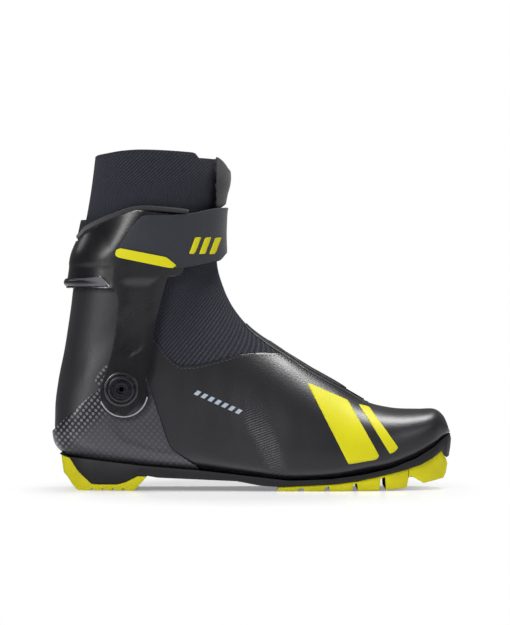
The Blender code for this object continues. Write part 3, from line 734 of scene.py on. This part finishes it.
def ribbedKnit(name, colour, lighter, pitch, slant=0.0):
    # stretch polyester knit: soft upright ribs, short lighter loops between them, a matt sheen
    mat, tree, shader, place = startMaterial(name, colour, 0.9, {"Sheen Weight": 0.02, "Specular IOR Level": 0.25})
    axes = addNode(tree, "SeparateXYZ", {}, {0: (place, "UV")})
    lean = calc(tree, "MULTIPLY_ADD", (axes, 1), slant, (axes, 0))
    turn = calc(tree, "MULTIPLY", lean, 2 * math.pi / pitch)
    rib = calc(tree, "SINE", turn)
    row = calc(tree, "MULTIPLY", (axes, 1), 2 * math.pi / (pitch * 1.25))
    step = calc(tree, "MULTIPLY_ADD", turn, 0.5, row)
    loop = calc(tree, "SINE", step)
    both = calc(tree, "MULTIPLY", rib, loop)
    dash = smoothRange(tree, both, 0.25, 0.95)
    fuzz = noise(tree, (place, "Object"), 1400.0, 1.0)
    uneven = spread(tree, fuzz, 0.3, 0.7, 0.55, 1.0)
    mask = calc(tree, "MULTIPLY", dash, uneven)
    shade = mixed(tree, mask, colour, lighter)
    height = calc(tree, "MULTIPLY_ADD", dash, 0.5, rib)
    wired(tree, shader, height, 0.55, 0.0004, shade)
    return mat


def plainWeave(name, colour, lighter, pitch, roughness, depth=0.00025, sheen=0.15):
    # flat woven or knitted cloth seen from close: a tight over-and-under grain
    mat, tree, shader, place = startMaterial(name, colour, roughness, {"Sheen Weight": sheen})
    spin = addNode(tree, "Mapping", {"Rotation": (0.3, math.radians(45), 0.2)}, {"Vector": (place, "Object")})
    weave = addNode(tree, "TexChecker", {"Scale": 1 / pitch, 1: colour, 2: lighter}, {"Vector": spin})
    cloud = noise(tree, (place, "Object"), 60.0, 3.0)
    soft = spread(tree, cloud, 0.3, 0.7, 0.85, 1.15)
    shade = addNode(tree, "Mix", {"data_type": "RGBA", "blend_type": "MULTIPLY", 0: 1.0}, {6: weave, 7: soft})
    height = calc(tree, "MULTIPLY_ADD", cloud, 1.4, (weave, 1))
    wired(tree, shader, height, 0.5, depth, shade)
    return mat


def mouldedPlastic(name, colour, lighter, roughness, grain=0.0006, depth=0.00012, coat=0.0, sockets=None):
    # injection-moulded plastic with an eroded tool finish: even colour, fine sparkle, slightly uneven gloss
    mat, tree, shader, place = startMaterial(name, colour, roughness, {"Coat Weight": coat,
                                                                       "Coat Roughness": 0.25, **(sockets or {})})
    spot = (place, "Object")
    fine = noise(tree, spot, 1 / grain, 2.0)
    cloud = noise(tree, spot, 35.0, 3.0)
    tone = spread(tree, fine, 0.35, 0.75)
    shade = mixed(tree, tone, colour, lighter)
    gloss = spread(tree, cloud, 0.3, 0.7, roughness - 0.05, roughness + 0.07)
    wired(tree, shader, fine, 0.6, depth, shade, gloss)
    return mat


def carbonLaminate(name, spec):
    # clear-coated laminate over a dotted carrier: pale dots in slanting rows under a hard gloss
    mat, tree, shader, place = startMaterial(name, spec["dark"], 0.42, {
        "Coat Weight": 0.35, "Coat Roughness": 0.14, "Specular IOR Level": 0.3})
    axes = addNode(tree, "SeparateXYZ", {}, {0: (place, "Object")})
    waves = []
    for sign in (1.05, -0.82):
        along = calc(tree, "MULTIPLY_ADD", (axes, 2), sign, (axes, 0))
        turn = calc(tree, "MULTIPLY", along, math.pi / (spec["pitch"] * math.sqrt(2)))
        wave = calc(tree, "SINE", turn)
        waves.append(calc(tree, "ABSOLUTE", wave))
    both = calc(tree, "MULTIPLY", waves[0], waves[1])
    dot = smoothRange(tree, both, 0.42, 0.68)
    # the dots stand out above a line that slants up towards the hinge and fade into grey below it
    slope = calc(tree, "MULTIPLY_ADD", (axes, 0), -spec["slope"], (axes, 2))
    upper = smoothRange(tree, slope, spec["fade"][0], spec["fade"][1])
    base = mixed(tree, upper, spec["grey"], spec["dark"])
    show = spread(tree, upper, 0.0, 1.0, 0.2, 1.0)
    amount = calc(tree, "MULTIPLY", dot, show)
    cloud = noise(tree, (place, "Object"), 90.0, 2.0)
    vary = spread(tree, cloud, 0.3, 0.7, 0.75, 1.0)
    dotted = calc(tree, "MULTIPLY", amount, vary)
    shade = mixed(tree, dotted, (base, 2), spec["dot"])
    wired(tree, shader, dot, 0.25, 0.0002, shade)
    return mat


def ribbedPiping(name, colour, lighter, pitch):
    # braided cover drawn over a foam cord: close cross ribs that catch the light on top, their crests also painted
    # lighter as a painted highlight
    mat, tree, shader, place = startMaterial(name, colour, 0.6, {"Sheen Weight": 0.2})
    axes = addNode(tree, "SeparateXYZ", {}, {0: (place, "UV")})
    lean = calc(tree, "MULTIPLY_ADD", (axes, 1), 0.004, (axes, 0))
    turn = calc(tree, "MULTIPLY", lean, 2 * math.pi / pitch)
    rib = calc(tree, "SINE", turn)
    # lighter towards each rib crest: painted highlight
    tone = spread(tree, rib, -0.2, 1.0)
    shade = mixed(tree, tone, colour, lighter)
    wired(tree, shader, rib, 0.7, 0.0004, shade)
    return mat


def moulding(name, colour, shadow, roughness, patch=48.0):
    # rubber or film in one strong colour: matt, with faint handling marks and a slightly darker bloom
    mat, tree, shader, place = startMaterial(name, colour, roughness, {"Specular IOR Level": 0.3})
    spot = (place, "Object")
    cloud = noise(tree, spot, patch, 4.0)
    fine = noise(tree, spot, 1500.0, 1.0)
    tone = spread(tree, cloud, 0.4, 0.75, 0.0, 0.55)
    shade = mixed(tree, tone, colour, shadow)
    gloss = spread(tree, cloud, 0.3, 0.7, roughness - 0.06, roughness + 0.08)
    wired(tree, shader, fine, 0.5, 0.00012, shade, gloss)
    return mat


def brushedSteel(name, colour, roughness, stretch):
    # turned or drawn stainless steel: fine lines round the part that spread the highlight
    mat, tree, shader, place = startMaterial(name, colour, roughness, {"Metallic": 1.0})
    lines = addNode(tree, "Mapping", {"Scale": stretch}, {"Vector": (place, "Object")})
    grain = noise(tree, lines, 300.0, 3.0)
    gloss = spread(tree, grain, 0.3, 0.7, roughness - 0.08, roughness + 0.1)
    wired(tree, shader, grain, 0.2, 0.0001, gloss=gloss)
    return mat


vampCloth = coatedSoftshell("coatedSoftshellVamp", "#121216", "#18181d", 0.37, printed=True)
heelCloth = coatedSoftshell("coatedSoftshellHeel", "#101014", "#16161b", 0.44)
placketCloth = coatedSoftshell("coatedSoftshellPlacket", "#17171a", "#1e1e22", 0.38)
shaftKnit = ribbedKnit("ribbedStretchKnit", "#1c1d25", "#4e4f5c", 0.0015, 0.25)
paddingKnit = ribbedKnit("knitPaddingCover", "#17171b", "#303038", 0.0022, 0.1)
hemKnit = ribbedKnit("foldedKnitHem", "#1d1e25", "#33343d", 0.002)
flapCloth = plainWeave("smoothStretchFlap", "#19181b", "#201f24", 0.0008, 0.75)
strapCloth = plainWeave("coatedStrapWebbing", "#0d101b", "#141824", 0.0009, 0.6)
liningCloth = plainWeave("brushedLining", "#1c1c20", "#2c2c31", 0.0014, 0.95, 0.0006, 0.4)
insoleFoam = plainWeave("clothFacedFoam", "#232326", "#39393d", 0.002, 0.9)
boardFibre = plainWeave("fibreBoard", "#55534f", "#67645e", 0.0015, 0.8)
zipTapeCloth = plainWeave("wovenZipTape", "#121215", "#222227", 0.0009, 0.8)
cuffPlastic = mouldedPlastic("satinMouldedComposite", "#09090c", "#101014", 0.25, 0.0007, 0.00008, 0.2,
                             {"Coat Roughness": 0.2})
bumperPlastic = mouldedPlastic("mouldedHeelLip", "#0d0d10", "#151519", 0.3)
inlayPlastic = mouldedPlastic("greyMouldedInlay", "#3f3f44", "#505056", 0.36)
# pale grey for the bead at the inlay's right edge: a painted highlight
inlayEdgeHighlight = mouldedPlastic("paleInlayEdge", "#b9b9bf", "#cfcfd4", 0.35)
solePlastic = mouldedPlastic("erodedSolePolyamide", "#0e0e11", "#141418", 0.5, 0.0006, 0.00015,
                              sockets={"Specular IOR Level": 0.3})
insertPlastic = mouldedPlastic("glassFilledInsert", "#4b4b50", "#5d5d62", 0.5)
ringPlastic = mouldedPlastic("blackAcetalRing", "#1c1c20", "#26262b", 0.26, 0.0005, 0.00006)
bushingPlastic = mouldedPlastic("naturalAcetal", "#c9c8c2", "#d6d5cf", 0.45)
coilPlastic = mouldedPlastic("polyesterZipCoil", "#101013", "#1b1b1f", 0.4)
yellowRubber = moulding("matteYellowRubber", "#c4bd00", "#aaa300", 0.65)
yellowFilm = moulding("satinYellowFilm", "#c6c000", "#bbb500", 0.55, 30.0)
barSteel = brushedSteel("drawnStainlessBar", "#b9b9bb", 0.28, (1.0, 0.05, 1.0))
screwSteel = brushedSteel("blackTurnedScrew", "#38383d", 0.3, (1.0, 1.0, 1.0))
# pale grey for a bead on the disc's lower edge: a painted highlight, not a metal
discEdgeHighlight = moulding("paleDiscEdgeHighlight", "#9c9ca2", "#77777d", 0.35)
socketSteel = brushedSteel("zincPlatedSocket", "#5c5238", 0.4, (1.0, 1.0, 1.0))
carbonFinish = carbonLaminate("clearCoatedCarbon", {"dark": "#020203", "grey": "#35353a", "dot": "#69686f",
                                                   "pitch": 0.0033, "slope": 0.924, "fade": (0.152, 0.168)})
pipingCloth = ribbedPiping("braidedRimPiping", "#18181c", "#27272c", 0.0012)
threadDark = moulding("darkSewingThread", "#17171a", "#101012", 0.6)
threadLight = moulding("greySewingThread", "#46464c", "#36363c", 0.6)
print("materials ready")

# skin seen as one closed surface, to rest small pieces on
probe = skinMesh(0.0, 0, shaftTop, 6, 96)
probe.normal_update()
skinTree = BVHTree.FromBMesh(probe)
probe.free()

beyondQuarter = [(-86, -50), (-86, far), (far, far), (far, -50)]
shaftBend = ((-0.058, 0, 0.118), (-0.064, 0, 0.166))  # where the knit would turn with the cuff; nothing here bends it
vamp = {"out": 0.0, "wall": 2.0, "edge": 0.35, "end": 15,
        "outlines": [below(smoothLine(vampSeam)), beyondQuarter]}
finish(skinPiece("vampSoftshell", vampCloth, vamp), "boot", ["vamp_softshell"])

quarter = {"out": 0.0, "wall": 2.0, "edge": 0.35, "start": 9,
           "outlines": [[(-86.3, -10), (-86.3, 166), (-200, 170), (-200, -10)]]}
finish(skinPiece("heelSoftshell", heelCloth, quarter), None, ["rear_softshell"],
       ((-0.115, 0, 0.128), (-0.115, 0, 0.158)))

shaft = {"out": -0.15, "wall": 1.9, "edge": 0.3, "start": 8, "density": 9,
         "outlines": [above(smoothLine(vampSeam), 0.3), below(smoothLine(collarTop), -1.6),
                      [(-85.7, 90), (far, 90), (far, far), (-far, far), (-far, 166.5), (-85.7, 166.5)]]}
finish(skinPiece("shaftKnit", shaftKnit, shaft), None, ["ankle_fabric", "collar_fabric"], shaftBend)

lining = {"out": -2.6, "wall": 2.8, "edge": 0.8, "start": 1.6, "density": 5, "columns": 96,
          "outlines": [below(smoothLine(collarTop), -2.2)]}
bootLining = skinPiece("bootLining", liningCloth, lining)
finish(bootLining, None, ["bootie_liner", "collar_lining"], shaftBend)

rounds = np.linspace(0, 2 * math.pi, 160, endpoint=False)
topEdge, topOut = skinLine([(x, z - 1.7) for x, z in smoothLine(collarTop)], rounds, -2.6, 15)
hem = sweep("collarHem", topEdge, topOut, oval(2.0, 1.5, 16), hemKnit, closed=True)
finish(hem, "cuff")
print("fabric upper ready")

# sewn rows beside the vamp seam
stitch = {"Spacing": 0.0031, "Along": 0.00105, "Across": 0.00026, "Height": 0.00022, "Seed": 11}
seam = [(x, z - 2.1) for x, z in smoothLine(vampSeam) if -73 < x < 18]
finish(seamRow("vampStitches", seam, 0.08, stitch, threadLight), "boot")
print("fabric rows ready")

# heel cup, cuff and trims
cupOutline = [(-160, 33), (-150.6, 43.7), (-112.5, 78.5)] + arc(pivot, 21, 165, 25, 16)
cupOutline += smoothLine([(-75.2, 73.1), (-71.8, 63), (-66.1, 46), (-63.5, 38.3), (-58.6, 30.1), (-39.7, 16.9)])
cupOutline += [(-39.7, 14.2), (-74.3, 16.6), (-104.7, 20), (-136.9, 23.4), (-160, 27)]
cup = {"out": 2.0, "wall": 1.7, "edge": 0.45, "start": 9, "end": 17, "density": 10, "segments": 3,
       "outlines": [cupOutline], "holes": [arc(pivot, 3.3, 0, 345, 24)], "raised": [
           ([(-107, 64), (-106.4, 57.4), (-101.8, 43.7), (-97.3, 37.5), (-75.8, 30.1), (-30, 22), (-30, 90),
             (-107, 90)], -0.6, 1.8)]}  # a crease below the hinge
finish(skinPiece("carbonHeelCup", carbonFinish, cup), "boot", ["carbon_heel_cup"])

cuffTop = smoothLine([(-134, 187.4), (-131.6, 188.6), (-123.9, 195.8), (-113.5, 201.2), (-103.8, 205.0),
                      (-87.9, 209.2), (-66, 207), (-50.5, 204)])
wing = chaikin([(-50.5, 204), (-50.5, 166.5), (-52.1, 162.7), (-56.2, 159.8), (-63.1, 159.8), (-64.1, 156.8)],
               2, closed=False)
arm = smoothLine([(-64.1, 156.8), (-68.4, 140), (-72, 125), (-75, 99.2), (-78.2, 85)])
disc = arc((-95.4, 72.7), 18.1, 35, -205, 48)
rear = smoothLine([(-111.6, 81.5), (-105.8, 99), (-101.6, 122), (-99.9, 139.9), (-102.6, 151)])
cuffOutline = [(-160, 180), (-160, 186.8)] + cuffTop + wing + arm[1:] + disc + rear[1:] + [(-160, 152.2)]
cuff = {"out": 6.0, "wall": 2.7, "edge": 0.75, "segments": 3, "start": 11, "end": 21, "density": 12,
        "columns": 160, "outlines": [cuffOutline], "holes": [arc(pivot, 6.3, 0, 345, 32)], "raised": [
            ([(-170, 174), (-140, 174), (-116, 174), (-105, 176), (-96, 185), (-85, 198), (-76, 208), (-69, 230),
              (-170, 230)], -3.7, 25.0),  # leans in above a ridge, towards the top edge
            ([(-170, 171), (-120, 171), (-108, 172), (-104, 168), (-103, 149), (-170, 149)], -0.7, 4.5),
            ([(-97.5, 158), (-96, 138), (-100, 104), (-92, 98), (-80, 104), (-76.5, 125), (-71, 158)],
             -0.7, 4.5)]}  # shallow panel down the arm
finish(skinPiece("cuffShell", cuffPlastic, cuff), "cuff", ["cuff_shell"])

lipPoints, lipOut = skinLine([(-200, 155.2), (60, 155.2)], np.linspace(-math.radians(70), math.radians(70), 90),
                             0.0, 15)
behind = lipPoints[:, 0] < -108
lipPoints, lipOut = lipPoints[behind], lipOut[behind]
lipPoints += lipOut * np.interp(lipPoints[:, 0], (-134, -108), (5.0, 4.2))[:, None]
lip = sweep("cuffHeelLip", lipPoints, lipOut, oval(2.7, 3.1, 20), bumperPlastic)
finish(lip, "cuff", ["cuff_bumper"])
inlay = {"out": 7.0, "wall": 1.6, "edge": 0.2, "start": 15, "end": 20, "density": 16,
         "outlines": [[(-133.0, 158.2), (-112.6, 159.6), (-106.6, 152.8), (-133.0, 152.6)]]}
finish(skinPiece("cuffInlay", inlayPlastic, inlay), "cuff", ["inlay_lateral", "inlay_medial"])
# a pale bead along the inlay's right edge only: a real bead, its pale colour a painted highlight on that edge
finish(bead("cuffInlayEdge", [(-111.3, 160.0), (-104.9, 152.6)], 6.4, 0.4, inlayEdgeHighlight), "cuff")

padding = {"out": 3.7, "wall": 2.6, "edge": 0.9, "segments": 3, "start": 15, "end": 22, "density": 10,
           "push": 160.0,
           "raised": [([(-170, 189), (-131, 189.5), (-121, 197.5), (-110, 203.5), (-98, 208.5), (-86, 213),
                        (60, 210), (60, 150), (-170, 150)], -3.8, 6.0)],
           "outlines": [chaikin([(-160, 203)] + [(x, z - 1) for x, z in [
               (-125.7, 203.5), (-107.9, 204.4), (-93.9, 210.9), (-86, 213), (-70, 212.8), (-54, 210.4)]]
               + [(-52, 207), (-52, 176), (-58, 166), (-104, 162.5), (-160, 162)], 1)]}
cuffPadding = skinPiece("cuffPadding", paddingKnit, padding)
finish(cuffPadding, "cuff", ["cuff_padding"])
rimLine = smoothLine([(-160, 187.5), (-131.5, 188.6), (-121.5, 196), (-110.5, 201.9), (-98, 207), (-88, 210.2),
                      (-78, 211), (-54, 209.3), (-46.2, 207.6), (-30, 204)])
rimPoints, rimOut = skinLine(rimLine, np.linspace(-math.radians(120), math.radians(120), 180), 0.0, 15)
rimPoints += rimOut * np.interp(rimPoints[:, 0], (-131, -120, -108, -96, -84), (2.8, 3.1, 3.2, 3.4, 3.8))[:, None]
piping = sweep("rimPiping", rimPoints, rimOut, oval(1.7, 1.9, 16), pipingCloth)
finish(piping, "cuff")
print("heel cup and cuff ready")

# hinge rings, screws and the disc's rim, whose pale grey bead is a painted highlight
hingeSkin = abs(skinAt(pivot[0], pivot[1], lateral)[0].y)
hub = (pivot[0], hingeSkin, pivot[1])
ring = lathe("hingeRings", [(3.4, 5.5), (3.4, 6.3), (10.7, 6.3), (11.0, 7.6), (11.5, 7.95), (12.2, 7.95),
                            (12.8, 7.6), (13.0, 7.0), (13.0, 5.5), (3.4, 5.5)], hub, ringPlastic)
finish(ring, "cuff", ["pivot_ring_lateral", "pivot_ring_medial"])
headProfile = [(2.1, -2.0), (2.1, 6.6), (10.2, 6.6), (10.25, 7.6), (9.9, 8.2), (9.3, 8.5), (8.6, 8.6), (7.9, 8.45),
               (7.6, 8.1), (7.2, 8.1), (6.9, 8.5), (6.2, 8.55), (5.9, 8.2), (5.5, 8.2), (5.2, 8.55), (4.2, 8.6),
               (3.5, 8.5), (3.2, 7.9), (2.9, 7.0), (0, 6.9)]
screw = lathe("hingeScrews", headProfile, hub, screwSteel)
finish(screw, "boot", ["pivot_screw_lateral", "pivot_screw_medial"])
socket = []
for side in (lateral, medial):
    bm = bmesh.new()
    tips = [bm.verts.new((hub[0] + (2.4, 1.5)[k % 2] * math.cos(k * math.pi / 6), side * (hub[1] + 7.15),
                          hub[2] + (2.4, 1.5)[k % 2] * math.sin(k * math.pi / 6))) for k in range(12)]
    base = bm.faces.new(tips)
    bmesh.ops.solidify(bm, geom=[base], thickness=0.3)
    bmesh.ops.recalc_face_normals(bm, faces=bm.faces)
    socket.append(pieceFrom("screwSocket", bm, socketSteel))
finish(merged(socket), "boot")
# a pale bead round the lower half of the disc's edge only: a real bead, its pale colour a painted highlight on the
# lit edge
discRim = bead("discRim", arc((-95.4, 72.7), 17.75, 200, 350, 40), 6.0, 0.5, discEdgeHighlight)
finish(discRim, "cuff")

# sole unit: the frame's solids with rounded edges
for node, material, slot, edge in (
        ("outsole_chassis", solePlastic, "sole_plastic", 0.7),
        ("heel_tread_pad", yellowRubber, "yellow_rubber", 0.5),
        ("forefoot_tread_lateral", yellowRubber, "yellow_rubber", 0.45),
        ("forefoot_tread_medial", yellowRubber, "yellow_rubber", 0.45),
        ("forefoot_tread_center", yellowRubber, "yellow_rubber", 0.45),
        ("toe_tread_block", yellowRubber, "yellow_rubber", 0.6),
        ("toe_bar_insert", insertPlastic, "sole_plastic", 0.4)):
    finish(refined(node, material, edge), "boot", [node])
for node, material in (("toe_bar", barSteel), ("insole", insoleFoam), ("lasting_board", boardFibre),
                       ("pivot_nut_lateral", barSteel), ("pivot_nut_medial", barSteel),
                       ("pivot_bushing_lateral", bushingPlastic), ("pivot_bushing_medial", bushingPlastic),
                       ("zip_slider", barSteel), ("zip_pull", screwSteel)):
    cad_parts[node].data.materials.clear()
    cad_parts[node].data.materials.append(material)
print("sole unit ready")

# straps, flap and zip
shaftX = -72.0


def fanPlan(start, end, reach=150.0):
    # everything between two angles round the shaft, seen from above
    steps = max(3, int(abs(end - start) / 20))
    return [(shaftX, 0)] + arc((shaftX, 0), reach, start, end, steps)


strapOutline = [(10, 184), (-18.4, 178.7)]
strapOutline += smoothLine([(-22, 174.6), (-26.9, 171.7), (-54.1, 166.3), (-80, 169.5), (-100.5, 175.2)], 4)
strapOutline += smoothLine([(-101.3, 177.5), (-99.9, 180.7), (-93.7, 190.6), (-88, 198.6), (-82.6, 204.2),
                            (-79, 205.4), (-64, 205.6), (-46.4, 206.6), (-22.3, 211.6), (10, 214)], 4)
strap = {"out": 8.0, "wall": 1.6, "edge": 0.45, "start": 14, "end": 22, "density": 10,
         "outlines": [strapOutline], "plans": [fanPlan(-200, 24)]}
finish(skinPiece("shinStrap", strapCloth, strap), "strap", ["shin_strap"])
anchor = {**strap, "plans": [fanPlan(27, 179)]}
finish(skinPiece("strapAnchor", strapCloth, anchor), "cuff", ["strap_anchor"])
tab = {"out": 9.1, "wall": 0.9, "edge": 0.3, "start": 14, "end": 21, "density": 12,
       "outlines": [[(-63.8, 174.2), (-55.9, 167.9), (-55.4, 166.9), (-56.4, 166.3), (-61.7, 166.2),
                     (-97.4, 173.5), (-100.3, 174.1), (-101.8, 175.8), (-101.9, 178.2), (-100.6, 180.3),
                     (-98.2, 180.9)]],
       "plans": [[(-200, -90), (0, -90), (0, 0), (-200, 0)]]}
finish(skinPiece("strapTab", yellowFilm, tab), "strap", ["strap_tab"])
catch = {"out": 6.0, "wall": 1.1, "edge": 0.3, "start": 14, "end": 21,
         "outlines": [[(10, 186), (-18, 181), (-27, 174), (-49, 169), (-49, 204), (-22, 208), (10, 210)]],
         "plans": [[(shaftX, 0), (40, 34), (40, 90), (-49, 90), (-49, 0)]]}
finish(skinPiece("strapCatch", zipTapeCloth, catch), "cuff", ["strap_catch"])
bars = []
for start in (-47.0, -39.5, -32.0):
    bars.append([(start, 176.6), (start + 4.6, 177.0), (start + 9.2, 189.4), (start + 4.6, 189.0)])
for i, outline in enumerate(bars):
    mark = {"out": 8.12, "wall": 0.1, "edge": 0, "start": 14, "end": 21, "density": 12, "outlines": [outline],
            "plans": [[(-200, -90), (60, -90), (60, 0), (-200, 0)]]}
    finish(skinPiece(f"strapBar{i + 1}", yellowFilm, mark), "strap")

flap = {"out": 5.6, "wall": 3.4, "edge": 1.0, "segments": 3, "start": 14, "density": 10,
        "outlines": [[(-52, 211.6), (-25.5, 211.4), (-20.5, 214.4), (-17, 217.6), (-13, 221), (10, 230), (10, 235),
                      (-13, 236.5), (-17.6, 241.3), (-20.6, 245.8), (-24.5, 249.2), (-28.1, 250.3), (-31, 249.9),
                      (-52, 249.5)]],
        "plans": [[(-26.2, -90), (60, -90), (60, 90), (-50, 90), (-50, 0), (-26.2, 0)]]}
finish(skinPiece("collarFlap", flapCloth, flap), "flap", ["collar_flap"])

ridge = smoothLine([(-30, 147), (-13, 133.5), (-3.5, 121.5), (4.6, 114.6), (13.7, 108.0), (21.3, 103.2),
                    (30.2, 97.4), (41.6, 89.6), (55.5, 81.6), (68.1, 74.8), (80.8, 67.4), (88, 63.2)])
placket = {"out": 0.55, "wall": 0.7, "edge": 0.2, "start": 4.5, "end": 15, "density": 12,
           "outlines": [ridge + [(88, 120), (-30, 150)],
                        below([(-95, 126), (-12, 125), (160, 122)])],
           "plans": [[(-35, -60), (100, -60), (100, 3.5), (-35, 3.5)]]}
finish(skinPiece("instepPlacket", placketCloth, placket), "boot", ["instep_placket"])
weltLine = [(x + 0.6, z + 0.9) for x, z in ridge if 18 < x < 84]
welt = bead("placketWelt", weltLine, 0.75, 0.55, heelCloth, (lateral,))
finish(welt, "boot")
run = [(-30, 118), (110, 30), (110, 168), (-30, 168)]
tape = {"out": 1.1, "wall": 0.8, "edge": 0.15, "start": 4, "end": 15, "density": 12, "outlines": [run],
        "plans": [[(-2, 4.5), (72, 4.5), (72, 15.5), (-2, 15.5)]]}
finish(skinPiece("zipTape", zipTapeCloth, tape), "boot", ["zip_tape"])
coil = {"out": 2.2, "wall": 0.9, "edge": 0.3, "start": 4, "end": 15, "density": 12, "outlines": [run],
        "plans": [[(0, 8.2), (71, 8.2), (71, 11.8), (0, 11.8)]]}
finish(skinPiece("zipCoil", coilPlastic, coil), "boot", ["zip_coil"])
trail = []
for x in np.linspace(1, 70, 60):
    hit = skinTree.ray_cast(Vector((x, 10.0, far)), Vector((0, 0, -1)))
    trail.append(hit[:2])
teeth = {"Spacing": 0.0016, "Along": 0.0005, "Across": 0.0017, "Height": 0.0004, "Variation": 0.0, "Seed": 11}
finish(row("zipTeeth", [p + n * 2.2 for p, n in trail], [n for _, n in trail], teeth, coilPlastic), "boot")
sewn = {**stitch, "Spacing": 0.0028, "Along": 0.0009}
border = [(x - 0.9, z - 1.6) for x, z in ridge if 20 < x < 84]
finish(seamRow("placketStitches", border, 0.1, sewn, threadDark, (lateral,)), "boot")
print("closures ready")

# plain yellow bands on the forefoot
for i, outline in enumerate((
        [(41, 81), (72, 67.5), (96, 24), (72, 20)],
        [(80, 64.5), (88, 62.5), (110, 31), (103, 27.5)])):
    band = {"out": 0.14, "wall": 0.12, "edge": 0, "start": 1.5, "end": 12, "density": 14, "outlines": [outline]}
    finish(skinPiece(f"sideBand{i + 1}", yellowFilm, band), "boot")

# floor, light and camera
floorSpec = {"radius": 3.0, "colour": "#fafafc", "clearFrom": 0.14, "clearTo": 0.32}
floorMaterial = bpy.data.materials.new("paleStudioFloor")
floorMaterial.use_nodes = True
tree = floorMaterial.node_tree
shader = tree.nodes["Principled BSDF"]
shader.inputs["Base Color"].default_value = linear(floorSpec["colour"])
shader.inputs["Roughness"].default_value = 0.22
place = addNode(tree, "TexCoord")
flat = addNode(tree, "Mapping", {"Scale": (1.7, 1.0, 1.0)}, {"Vector": (place, "Object")})
away = addNode(tree, "VectorMath", {"operation": "LENGTH"}, {0: flat})
fade = smoothRange(tree, (away, 1), floorSpec["clearFrom"], floorSpec["clearTo"], 0.22)
rays = addNode(tree, "LightPath")
seen = calc(tree, "MULTIPLY", fade, (rays, "Is Camera Ray"))
white = addNode(tree, "Emission", {"Color": (1, 1, 1, 1), "Strength": 1.0})
choice = addNode(tree, "MixShader", {}, {0: seen, 1: shader, 2: white})
join(tree, (choice.outputs[0], tree.nodes["Material Output"].inputs["Surface"]))
bm = bmesh.new()
bmesh.ops.create_circle(bm, cap_ends=True, radius=floorSpec["radius"], segments=96)
floor = pieceFrom("floor", bm, floorMaterial, 1.0)

light = {"air": 0.13, "key": ((-1.1, -1.6, 1.2), 0.75, 28), "side": ((-1.3, -1.3, 0.5), 0.45, 4),
         "fill": ((1.5, -1.2, 0.9), 0.8, 6), "top": ((0.5, 0.2, 1.6), 0.7, 32),
         "rim": ((-1.3, 0.7, 0.9), 0.6, 1.5)}
world = bpy.data.worlds.new("studioAir")
bpy.context.scene.world = world
world.use_nodes = True
tree = world.node_tree
air = tree.nodes["Background"]
air.inputs["Color"].default_value = (1, 1, 1, 1)
rays = addNode(tree, "LightPath")
level = spread(tree, (rays, "Is Camera Ray"), 0.0, 1.0, light["air"], 1.0)
join(tree, (level.outputs[0], air.inputs["Strength"]))
for name in ("key", "side", "fill", "top", "rim"):
    spot, size, watts = light[name]
    lamp = bpy.data.lights.new(name, "AREA")
    lamp.shape = "DISK"
    lamp.size = size
    lamp.energy = watts
    obj = bpy.data.objects.new(name, lamp)
    bpy.context.scene.collection.objects.link(obj)
    obj.location = spot
    obj.rotation_euler = (Vector((0, 0, 0.12)) - Vector(spot)).to_track_quat("-Z", "Y").to_euler()

camera = {"distance": 3.0, "at": (0.0023, 0.133), "tall": 0.4725}
lens = bpy.data.cameras.new("camera")
lens.sensor_width = 36.0
lens.lens = 36.0 * camera["distance"] / camera["tall"]
lens.clip_end = 20.0
shot = bpy.data.objects.new("camera", lens)
bpy.context.scene.collection.objects.link(shot)
shot.location = (camera["at"][0], -camera["distance"], camera["at"][1])
shot.rotation_euler = (math.pi / 2, 0, 0)
bpy.context.scene.camera = shot
bpy.context.scene.view_settings.view_transform = "Standard"
print("stage ready")
